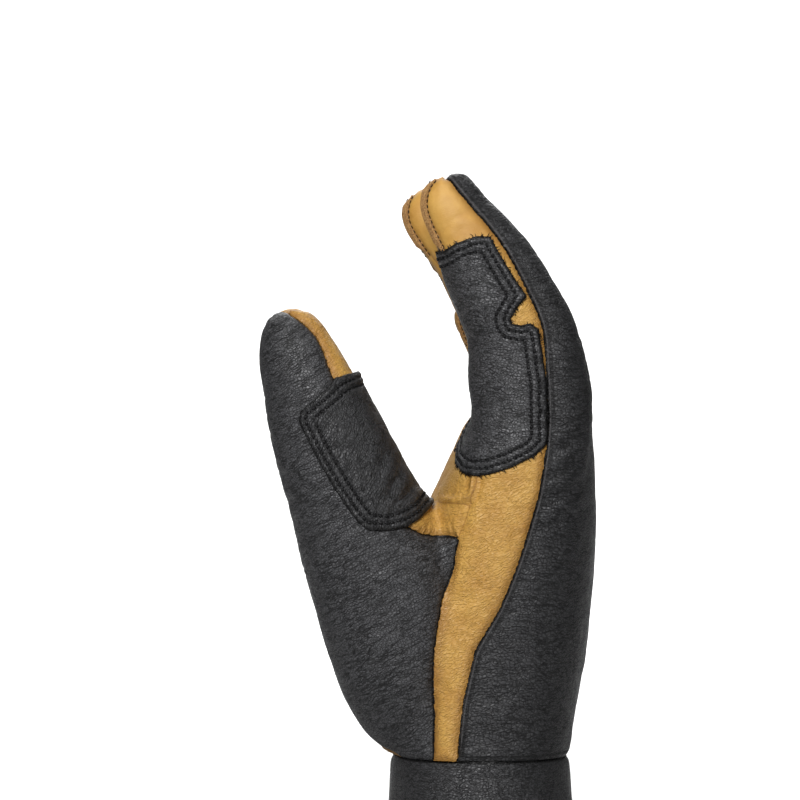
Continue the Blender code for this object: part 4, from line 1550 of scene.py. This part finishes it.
@dataclass
class Relief:
    """The padding, seam valleys, creases and wrinkles that lie on the form, in metres."""
    form: GloveForm
    seams: Seams
    seam_depth: float = 0.0009
    seam_width: float = 0.0012
    puff: float = 0.0006
    puff_reach: float = 0.0070
    swell: float = 0.0003
    swell_size: float = 0.017
    dimple: float = 0.00015
    dimple_size: float = 0.0055
    drawn: float = 0.00022
    drawn_size: tuple[float, float, float] = (0.0100, 0.0080, 0.0034)
    wander: float = 0.006
    wander_size: float = 0.012
    cluster_size: float = 0.026
    ridge_share: float = 0.45
    ridge_place: float = 2.1
    finger_edge: tuple[float, float] = (1.25, 0.95)
    thumb_side: float = -0.1

    def height(self, skin: Skin, seam: Array, strength: Array) -> Array:
        """How far each point of the skin moves out.

        Args:
            skin: The surface.
            seam: Each point's distance from the nearest seam.
            strength: How deep that seam is, from 0 to 1.

        Returns:
            One height for each point.
        """
        points = skin.points
        covered = self.seams.index_patch(points) + self.seams.thumb_patch(points) > 0
        seam = np.where(covered, self.puff_reach, seam)
        rise = -self.seam_depth * strength * np.exp(-(seam / self.seam_width) ** 2)
        rise += self.puff * strength * (smoothstep(0.0, self.puff_reach, seam) - 1.0)
        away = smoothstep(0.0, self.puff_reach, seam)
        rise += self.swell * (2 * lattice_noise(points / self.swell_size, 3) - 1) * away
        rise += self.dimple * (2 * lattice_noise(points / self.dimple_size, 5) - 1) * away
        wander = (lattice_noise(points / self.wander_size, 7) - 0.5)[:, None] * (0.0, 0.0, self.wander)
        ridges = np.abs(2 * lattice_noise((points + wander) / self.drawn_size, 11) - 1)
        patchy = smoothstep(0.35, 0.65, lattice_noise(points / self.cluster_size, 13))
        rise -= self.drawn * (1 - np.minimum(ridges * 4, 1)) * (0.35 + patchy)
        for fold in FOLDS:
            rise -= self.crease(fold, skin)
        for bulge in BULGES:
            rise += self.swollen(bulge, skin)
        return rise

    def swollen(self, bulge: Bulge, skin: Skin) -> Array:
        """How far one bulge pushes each point of the palm side of its finger.

        Args:
            bulge: The bulge.
            skin: The surface.

        Returns:
            One height a point.
        """
        points, form = skin.points, self.form
        middle = self.seams.middles(points[:, 2])[bulge.finger]
        across = np.abs(points[:, 1] - middle) / (0.5 * FINGERS[bulge.finger].width)
        along = (points[:, 2] / form.hand_height - bulge.height) / bulge.reach
        palm = smoothstep(0.0, 0.6, -skin.normals[:, 0]) * (points[:, 0] > bulge.behind * form.hand_depth)
        return bulge.rise * np.exp(-along ** 2) * palm * smoothstep(*self.finger_edge, across)

    def crease(self, fold: Fold, skin: Skin) -> Array:
        """How deep one fold presses each point of the skin.

        Args:
            fold: The fold.
            skin: The surface.

        Returns:
            One depth a point.
        """
        start, end = self.form.at([fold.start, fold.end])
        spots = skin.points[:, [2, 0]]
        way = end - start
        t = np.clip((spots - start) @ way / (way @ way), 0.0, 1.0)
        away = np.linalg.norm(spots - start - t[:, None] * way, axis=1) / fold.width
        bed = np.exp(-away ** 2) - self.ridge_share * np.exp(-(away - self.ridge_place) ** 2)
        ends = np.sin(math.pi * np.clip(t, 0.04, 0.96)) ** 0.6
        near_side = skin.points[:, 1] < self.thumb_side * self.form.hand_width
        return fold.depth * bed * ends * smoothstep(-0.15, 0.35, -skin.normals[:, 1]) * near_side


def add_piece(name: str, solid: Solid, finish: bpy.types.Material, shift: Array,
              sharp: float = 55.0) -> bpy.types.Object:
    """Makes a piece of the glove and sets it on the frame.

    Args:
        name: The piece's name.
        solid: Its points and triangles.
        finish: Its material.
        shift: How far it moves into the frame.
        sharp: The angle, in degrees, past which an edge stays sharp.

    Returns:
        The piece.
    """
    mesh = bpy.data.meshes.new(name)
    count = len(solid.triangles)
    mesh.vertices.add(len(solid.points))
    mesh.vertices.foreach_set("co", (solid.points + shift).astype(np.float32).ravel())
    mesh.loops.add(3 * count)
    mesh.loops.foreach_set("vertex_index", solid.triangles.astype(np.int32).ravel())
    mesh.polygons.add(count)
    mesh.polygons.foreach_set("loop_start", np.arange(0, 3 * count, 3, dtype=np.int32))
    mesh.update(calc_edges=True)
    seam = mesh.attributes.new("seam", "FLOAT", "POINT")
    seam.data.foreach_set("value", solid.values.astype(np.float32))
    mesh.shade_smooth()
    mesh.set_sharp_from_angle(angle=math.radians(sharp))
    mesh.materials.append(finish)
    piece = bpy.data.objects.new(name, mesh)
    bpy.context.scene.collection.objects.link(piece)
    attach(piece, "root")
    LOG.info("%s: %d triangles", name, count)
    return piece


@dataclass
class Finishes:
    """Every material of the glove, each made once."""
    back_shade_row: float = 0.0018
    black: dict[Grain, bpy.types.Material] = field(default_factory=dict)
    tan: bpy.types.Material | None = None
    edge: bpy.types.Material | None = None
    thread: bpy.types.Material | None = None

    def __post_init__(self) -> None:
        """Makes the materials."""
        # The back panel's row is a line of painted shade in the valley beside its lip; the patches' rows
        # shade their stitch grooves.
        rows = {Grain.SLANTED: Patch.rows, Grain.LEVEL: Patch.rows, Grain.ACROSS: (self.back_shade_row,)}
        self.black = {grain: BlackLeather().material(grain, rows.get(grain, ())) for grain in Grain}
        self.tan = TanLeather().material()
        self.edge = RawEdge().material()
        self.thread = Thread().material()


@dataclass
class Panels:
    """The leather panels of the hand, the fingers, the thumb and the cuff."""
    wall: float = 0.0024
    seam_gap: float = 0.0006
    lip_radius: float = 0.00045
    lip_inset: float = 0.00080
    lip_lift: float = 0.00045
    lip_step: float = 0.0010
    turning_radius: float = 0.0009
    turning_depth: float = 0.0013
    shortest_roll: int = 12
    taper_steps: float = 6.0
    grains: dict[Panel, Grain] = field(default_factory=lambda: {
        Panel.BACK: Grain.ACROSS, Panel.THUMB: Grain.RISING, Panel.CUFF: Grain.FINE})

    def nodes(self, panel: Panel) -> list[str]:
        """The CAD nodes that a panel stands for."""
        runs_on = {Panel.BACK: "_back", Panel.PALM: "_front"}
        ends = [finger.name + runs_on[panel] for finger in FINGERS] if panel in runs_on else []
        return [panel.value, *ends]

    def build(self, cut: Cut, seam: Array, strength: Array, finishes: Finishes,
              shift: Array) -> list[bpy.types.Object]:
        """Makes every panel.

        Args:
            cut: The skin, parted along its seams.
            seam: Each point's distance from the nearest seam.
            strength: How deep that seam is, from 0 to 1.
            finishes: The materials.
            shift: How far the pieces move into the frame.

        Returns:
            The panels.
        """
        made = []
        shade = seam / MM / strength ** 1.5
        gap = 0.5 * self.seam_gap * strength ** 2
        for number, panel in enumerate(PANELS):
            skin, used = cut.skin.select(cut.labels == number)
            solids = [walled(skin, -self.wall, 0.0, gap[used], (), shade[used])]
            if panel is Panel.BACK:
                # The lip's value of -1 gives it a painted highlight.
                solids += self.rolls(skin, self.lip_inset, self.lip_lift, self.lip_radius, -1.0)
            if panel in (Panel.BACK, Panel.THUMB):
                # The value of 0 gives the turned edge the full painted seam shade.
                solids += self.rolls(skin, 0.0, -self.turning_depth, self.turning_radius, 0.0)
            dark = panel in BLACK_PANELS
            finish = finishes.black[self.grains[panel]] if dark else finishes.tan
            piece = add_piece(f"{panel.value}_leather", Solid.joined(solids), finish,
                              shift)
            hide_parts(*self.nodes(panel))
            made.append(piece)
        return made

    def rolls(self, skin: Skin, inset: float, lift: float, radius: float,
              value: float) -> list[Solid]:
        """Rolled edges along each seam of a panel.

        Args:
            skin: The panel.
            inset: How far inside the seam a roll lies.
            lift: How far it stands out of the surface.
            radius: Its radius.
            value: The seam distance that its finish reads; -1 gives a painted highlight and 0 the full
                painted seam shade.

        Returns:
            The rolls.
        """
        found = []
        into = skin.inward()
        above_cuff = skin.points[:, 2] > GloveForm.cuff_top + 3 * inset
        for numbers, _ in rim_lines(skin):
            keep = np.flatnonzero(above_cuff[numbers])
            runs = np.split(keep, np.flatnonzero(np.diff(keep) > 1) + 1)
            for run in runs:
                if len(run) < self.shortest_roll:
                    continue
                spots = numbers[run]
                places = skin.points[spots] + into[spots] * inset
                smooth = Line(places, skin.normals[spots]).smooth(4).even(self.lip_step).smooth(6)
                smooth = smooth.lifted(lift)
                taper = np.clip(np.arange(len(smooth.points)) / self.taper_steps, 0.2, 1.0)
                scale = radius * np.minimum(taper, taper[::-1])
                tube = swept(smooth.points[None], smooth.normals[None], circle(8), scale[None])
                tube.values[:] = value
                found.append(tube)
        return found


@dataclass
class Patch:
    """A sewn-on patch: thick leather with a rounded cut edge, rows of stitches and loose fibres."""
    clearance: float = 0.0003
    thickness: float = 0.0011
    edge_share: float = 0.72
    edge_width: float = 0.0016
    rounding: tuple[tuple[float, float], ...] = ((0.00022, 0.88), (0.00034, 0.5), (0.00024, 0.1))
    rows: tuple[float, ...] = (0.0018, 0.0042)
    pitch: float = 0.0019
    stitch_share: float = 0.62
    stitch_radius: float = 0.00046
    stitch_slant: float = 0.00034
    stitch_lift: float = 0.00024
    groove: float = 0.00046
    groove_width: float = 0.00060
    fibre_step: float = 0.00050
    fibre_length: float = 0.0020
    fibre_radius: float = 0.00014
    fibre_sway: float = 1.3
    fibre_bend: float = 0.8
    fibre_droop: float = 0.4
    fibre_root: tuple[float, float] = (0.0003, 0.0012)
    fibre_sink: float = 0.0002
    corners: tuple[Spot, ...] = ()
    corner_rise: float = 0.0013
    corner_reach: float = 0.0026
    reach: float = 0.085
    name: str = "index_patch"
    grain: Grain = Grain.LEVEL
    seed: int = 1

    def rule(self, seams: Seams) -> Callable[[Array], Array]:
        """The rule that says where the patch lies."""
        return seams.index_patch

    def build(self, skin: Skin, seams: Seams, finishes: Finishes, shift: Array) -> bpy.types.Object:
        """Makes the patch with its stitches and fibres.

        Args:
            skin: The finished skin of the glove.
            seams: The outlines.
            finishes: The materials.
            shift: How far the pieces move into the frame.

        Returns:
            The patch.
        """
        rule = self.rule(seams)
        around, _ = skin.select(rule(skin.points)[skin.triangles].any(axis=1))
        cut = part(around.halved(), rule, 0.1)
        bed, _ = cut.skin.select(drop_strays(cut.skin, cut.labels) == 1)
        away = rim_distance(bed)
        full = self.edge_share + (1 - self.edge_share) * smoothstep(0.0, self.edge_width, away)
        top = self.clearance + self.thickness * full
        for row in self.rows:
            top -= self.groove * np.exp(-((away - row) / self.groove_width) ** 2)
        for corner in seams.form.at(self.corners):
            gap = np.linalg.norm(bed.points[:, [2, 0]] - corner, axis=1)
            top += self.corner_rise * np.exp(-(gap / self.corner_reach) ** 2)
        solid = walled(bed, self.clearance, top, 0.0, self.rounding, away / MM)
        piece = add_piece(f"{self.name}_leather", solid, finishes.black[self.grain], shift)
        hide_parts(self.name)
        for kind, strands in (("stitches", self.stitches(bed, away)), ("fibres", self.fibres(bed))):
            add_piece(f"{self.name}_{kind}", strands, finishes.thread, shift)
        return piece

    def stitches(self, bed: Skin, away: Array) -> Solid:
        """Rows of stitches that follow the patch's edge, each one a short bent thread.

        Args:
            bed: The skin under the patch.
            away: Each point's distance from the patch's edge.

        Returns:
            All the stitches as one solid.
        """
        paths, ups, steps = [], [], 8
        along = np.linspace(-1, 1, 5)
        height = self.clearance + self.thickness - self.groove
        rise = height + self.stitch_lift * (1.0 - 1.7 * along ** 2)
        even = bed.smoothed(away, 2)
        for line in [line for row in self.rows for line in contours(bed, even, row)]:
            line = line.smooth(8).even(self.pitch / steps).smooth(4)
            numbers = np.arange(len(line.points))
            for first in range(0, len(line.points) - steps, steps):
                spot = np.linspace(first, first + steps * self.stitch_share, 5)
                normals = line.normals[np.round(spot).astype(int)]
                places = np.column_stack([np.interp(spot, numbers, axis) for axis in line.points.T])
                across = unit(np.cross(places[-1] - places[0], normals))
                places += across * along[:, None] * self.stitch_slant
                paths.append(places + normals * rise[:, None])
                ups.append(normals)
        scales = self.stitch_radius * np.array([0.65, 1.0, 1.05, 1.0, 0.65])
        return swept(np.array(paths), np.array(ups), circle(6), scales)

    def fibres(self, bed: Skin) -> Solid:
        """Short loose fibres that stand out of the cut edge.

        Args:
            bed: The skin under the patch.

        Returns:
            All the fibres as one solid.
        """
        draw = np.random.default_rng(self.seed)
        into = bed.inward()
        roots, ways, ups = [], [], []
        for numbers, line in rim_lines(bed):
            outward = Line(line.points, -into[numbers]).even(self.fibre_step)
            roots.append(outward.points)
            ways.append(outward.normals)
            ups.append(line.even(self.fibre_step).normals)
        roots, ways, ups = np.vstack(roots), np.vstack(ways), np.vstack(ups)
        count = len(roots)
        along = np.cross(ups, ways)
        aim = ways + along * draw.uniform(-self.fibre_sway, self.fibre_sway, (count, 1))
        aim = unit(aim + ups * draw.uniform(-0.1, 0.5, (count, 1)))
        turn = draw.uniform(-self.fibre_bend, self.fibre_bend, (count, 1))
        bend = unit(aim + along * turn - ups * self.fibre_droop)
        length = self.fibre_length * draw.uniform(0.25, 1.0, (count, 1)) ** 1.5
        start = roots + ups * draw.uniform(*self.fibre_root, (count, 1)) - ways * self.fibre_sink
        middle = start + aim * length * 0.6
        paths = np.stack([start, middle, middle + bend * length * 0.5], axis=1)
        upward = np.repeat(ups[:, None], 3, axis=1) + draw.uniform(-0.2, 0.2, (count, 3, 3))
        return swept(paths, upward, circle(3), self.fibre_radius * np.array([1.6, 1.0, 0.3]))


@dataclass
class IndexPatch(Patch):
    """The patch on the side and palm of the index finger."""


@dataclass
class ThumbPatch(Patch):
    """The patch on the inside of the thumb."""
    name: str = "thumb_patch"
    grain: Grain = Grain.SLANTED
    corners: tuple[Spot, ...] = (Spot(1.064, -0.750), Spot(0.845, -0.352))
    reach: float = 0.100
    fibre_length: float = 0.0008
    seed: int = 2

    def rule(self, seams: Seams) -> Callable[[Array], Array]:
        """The rule that says where the patch lies."""
        return seams.thumb_patch


@dataclass
class Welt:
    """The outside seam at a finger tip: two plies with raw edges, stitched through."""
    start: float = 0.60
    end: float = 0.925
    side: float = 0.53
    height: float = 0.0017
    ply: float = 0.0010
    sink: float = 0.0008
    steps: int = 40
    step: float = 0.0006
    taper_steps: float = 8.0
    pitch: float = 0.0017
    stitch_radius: float = 0.00017
    stitch_rise: float = 0.00022
    stitch_sink: float = 0.00010

    def section(self) -> Array:
        """The two plies with a groove between their edges, across and up, in metres."""
        ply, height = self.ply, self.height
        half = [(ply, -self.sink), (ply * 1.05, 0.45 * height), (ply * 0.95, 0.9 * height),
                (ply * 0.55, height), (0.08 * ply, 0.9 * height)]
        return np.array(half + [(-x, y) for x, y in half[::-1]])

    def route(self, finger: Finger, seams: Seams, tree: BVHTree) -> Line:
        """The seam line on the finger, from the thumb side.

        Args:
            finger: The finger.
            seams: The seam lines.
            tree: The finished skin.

        Returns:
            The line on the skin.
        """
        form = seams.form
        _, palm, middle = seams.lines[FINGERS.index(finger)]
        base = form.finger_base - finger.base_drop * form.hand_height
        points, normals = [], []
        for z in np.linspace(self.start, self.end, self.steps) * finger.length + base:
            aim = (np.interp(z, *palm), np.interp(z, *middle) - self.side * finger.width, z)
            place, normal, _, _ = tree.ray_cast(Vector(aim), Vector((0, 1, 0)))
            if place is not None:
                points.append(place)
                normals.append(normal)
        return Line(np.array(points), np.array(normals)).smooth(6)

    def build(self, finger: Finger, seams: Seams, tree: BVHTree, finishes: Finishes,
              shift: Array) -> bpy.types.Object:
        """Makes the welt of one finger.

        Args:
            finger: The finger.
            seams: The seam lines.
            tree: The finished skin, for finding the surface.
            finishes: The materials.
            shift: How far the piece moves into the frame.

        Returns:
            The welt.
        """
        line = self.route(finger, seams, tree).even(self.step).smooth(4)
        taper = np.clip(np.arange(len(line.points)) / self.taper_steps, 0.3, 1.0)
        scale = np.minimum(taper, taper[::-1])
        solid = swept(line.points[None], line.normals[None], self.section(), scale[None])
        piece = add_piece(f"{finger.name}_welt_plies", solid, finishes.edge, shift)
        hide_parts(f"{finger.name}_welt")
        stitches = self.stitches(line)
        add_piece(f"{finger.name}_welt_stitches", stitches, finishes.thread, shift)
        return piece

    def stitches(self, line: Line) -> Solid:
        """Stitches along the foot of the welt, on both of its sides.

        Args:
            line: The welt's line.

        Returns:
            All the stitches as one solid.
        """
        along = unit(np.gradient(line.points, axis=0))
        across = np.cross(along, line.normals)
        feet = [Line(line.points + across * hand * self.ply * 1.1 + line.normals * 0.3 * self.height,
                     across * hand) for hand in (-1, 1)]
        return running_stitches(feet, self.pitch, self.stitch_radius, self.stitch_rise, self.stitch_sink, 5)


WELTS = {"little": Welt(height=0.0009, ply=0.0006)}


@dataclass
class Hem:
    """The turned hem of the cuff, held by one row of stitches."""
    height: float = 0.0085
    pitch: float = 0.0026
    radius: float = 0.00032
    rise: float = 0.00030
    sink: float = 0.00012

    def build(self, cuff: Skin, finishes: Finishes, shift: Array) -> bpy.types.Object:
        """Makes the row of stitches round the cuff.

        Args:
            cuff: The cuff's finished skin.
            finishes: The materials.
            shift: How far the piece moves into the frame.

        Returns:
            The stitches.
        """
        lines = [line.smooth(6) for line in contours(cuff, cuff.points[:, 2], self.height)]
        solid = running_stitches(lines, self.pitch, self.radius, self.rise, self.sink, 6)
        return add_piece("hem_stitches", solid, finishes.thread, shift)


class Lamp(NamedTuple):
    """A square area light: its place and size in metres, its watts and what it faces."""
    name: str
    place: tuple[float, float, float]
    size: float
    power: float
    target: tuple[float, float, float] = (0.0, 0.0, 0.19)


LAMPS = (
    Lamp("key", (-0.22, -1.32, 0.62), 0.40, 26.0),
    Lamp("fill", (0.9, -1.6, 0.5), 0.6, 1.0),
    Lamp("top", (0.0, -0.1, 1.4), 0.5, 6.5),
    Lamp("floor", (0.0, 1.7, 1.2), 1.6, 38.0, (0.0, 1.7, 0.0)),
    Lamp("backdrop", (0.0, 2.0, 1.6), 2.2, 90.0, (0.0, 4.2, 1.2)),
)


@dataclass
class Studio:
    """The camera, the pale sweep that the glove stands on and the soft lights."""
    frame_centre: tuple[float, float] = (-0.0095, 0.1898)
    plane: float = -0.040
    field: float = 0.2548
    distance: float = 1.60
    sensor: float = 0.036
    ambient: float = 0.04

    def camera(self) -> None:
        """Sets the camera level with the thumb, looking at the thumb side."""
        data = bpy.data.cameras.new("camera")
        data.sensor_width = self.sensor / MM
        data.lens = self.sensor / MM * self.distance / self.field
        data.clip_end = 20.0
        camera = bpy.data.objects.new("camera", data)
        camera.location = (self.frame_centre[0], self.plane - self.distance, self.frame_centre[1])
        camera.rotation_euler = (math.pi / 2, 0.0, 0.0)
        bpy.context.scene.collection.objects.link(camera)
        bpy.context.scene.camera = camera

    def sweep(self) -> bpy.types.Object:
        """A graded paper floor, white behind, that curves up into a backdrop.

        Returns:
            The sweep.
        """
        front, half, reach, bend, top = 0.30, 0.80, 3.0, 1.2, 4.0
        turn = np.linspace(0, math.pi / 2, 17)
        depths = np.concatenate([[-front], reach + bend * np.sin(turn), [reach + bend]])
        heights = np.concatenate([[0.0], bend * (1 - np.cos(turn)), [top]])
        shape = bmesh.new()
        rows = [[shape.verts.new((x, y, z)) for x in (-half, half)] for y, z in zip(depths, heights)]
        for low, high in zip(rows, rows[1:]):
            shape.faces.new((low[0], low[1], high[1], high[0]))
        mesh = bpy.data.meshes.new("sweep")
        shape.to_mesh(mesh)
        shape.free()
        mesh.shade_smooth()
        shader = Shader("sweep_paper")
        behind = shader.axis(shader.millimetres(), 1).ramp(150.0, 650.0)
        paper = shader.mix(behind, rgb(150, 150, 150), rgb(238, 238, 238))
        shader.feed(shader.surface, {"Base Color": paper, "Roughness": 0.9})
        mesh.materials.append(shader.material)
        sweep = bpy.data.objects.new("sweep", mesh)
        bpy.context.scene.collection.objects.link(sweep)
        return sweep

    def light(self, lamp: Lamp) -> None:
        """Adds one square area light that faces its target.

        Args:
            lamp: What and where it is.
        """
        data = bpy.data.lights.new(lamp.name, "AREA")
        data.size = lamp.size
        data.energy = lamp.power
        light = bpy.data.objects.new(lamp.name, data)
        light.location = lamp.place
        aim = Vector(lamp.target) - Vector(lamp.place)
        light.rotation_euler = aim.to_track_quat("-Z", "Y").to_euler()
        bpy.context.scene.collection.objects.link(light)

    def build(self) -> None:
        """Sets up the camera, the sweep, the lights and the world."""
        self.camera()
        self.sweep()
        for lamp in LAMPS:
            self.light(lamp)
        world = bpy.data.worlds.new("studio")
        world.use_nodes = True
        back = world.node_tree.nodes["Background"]
        back.inputs["Color"].default_value = (1.0, 1.0, 1.0, 1.0)
        back.inputs["Strength"].default_value = self.ambient
        bpy.context.scene.world = world
        bpy.context.scene.view_settings.view_transform = "Standard"


def main() -> None:
    """Builds the studio and the glove, and reports each piece."""
    logging.basicConfig(level=logging.INFO, format="%(name)s: %(message)s")
    Studio().build()
    finishes = Finishes()
    form = GloveForm()
    shift = form.shift()
    LOG.info("shift into the frame: %.2f, %.2f mm", *(shift[:2] / MM))
    seams = Seams(form)
    cut = part(form.skin(), seams.panels)
    cut.labels = drop_strays(cut.skin, cut.labels)
    LOG.info("skin: %d triangles", len(cut.skin.triangles))
    seam, strength = seam_distance(cut)
    cut.skin.points += cut.skin.normals * Relief(form, seams).height(cut.skin, seam, strength)[:, None]
    cut.skin.points[:, 2] = np.maximum(cut.skin.points[:, 2], 0.0)
    cut.skin.renormal()
    Panels().build(cut, seam, strength, finishes, shift)
    for patch in (IndexPatch(), ThumbPatch()):
        patch.build(cut.skin, seams, finishes, shift)
    tree = BVHTree.FromPolygons(cut.skin.points.tolist(), cut.skin.triangles.tolist())
    for finger in FINGERS:
        WELTS.get(finger.name, Welt()).build(finger, seams, tree, finishes, shift)
    cuff, _ = cut.skin.select(cut.labels == PANELS.index(Panel.CUFF))
    Hem().build(cuff, finishes, shift)


if __name__ == "__main__":
    main()
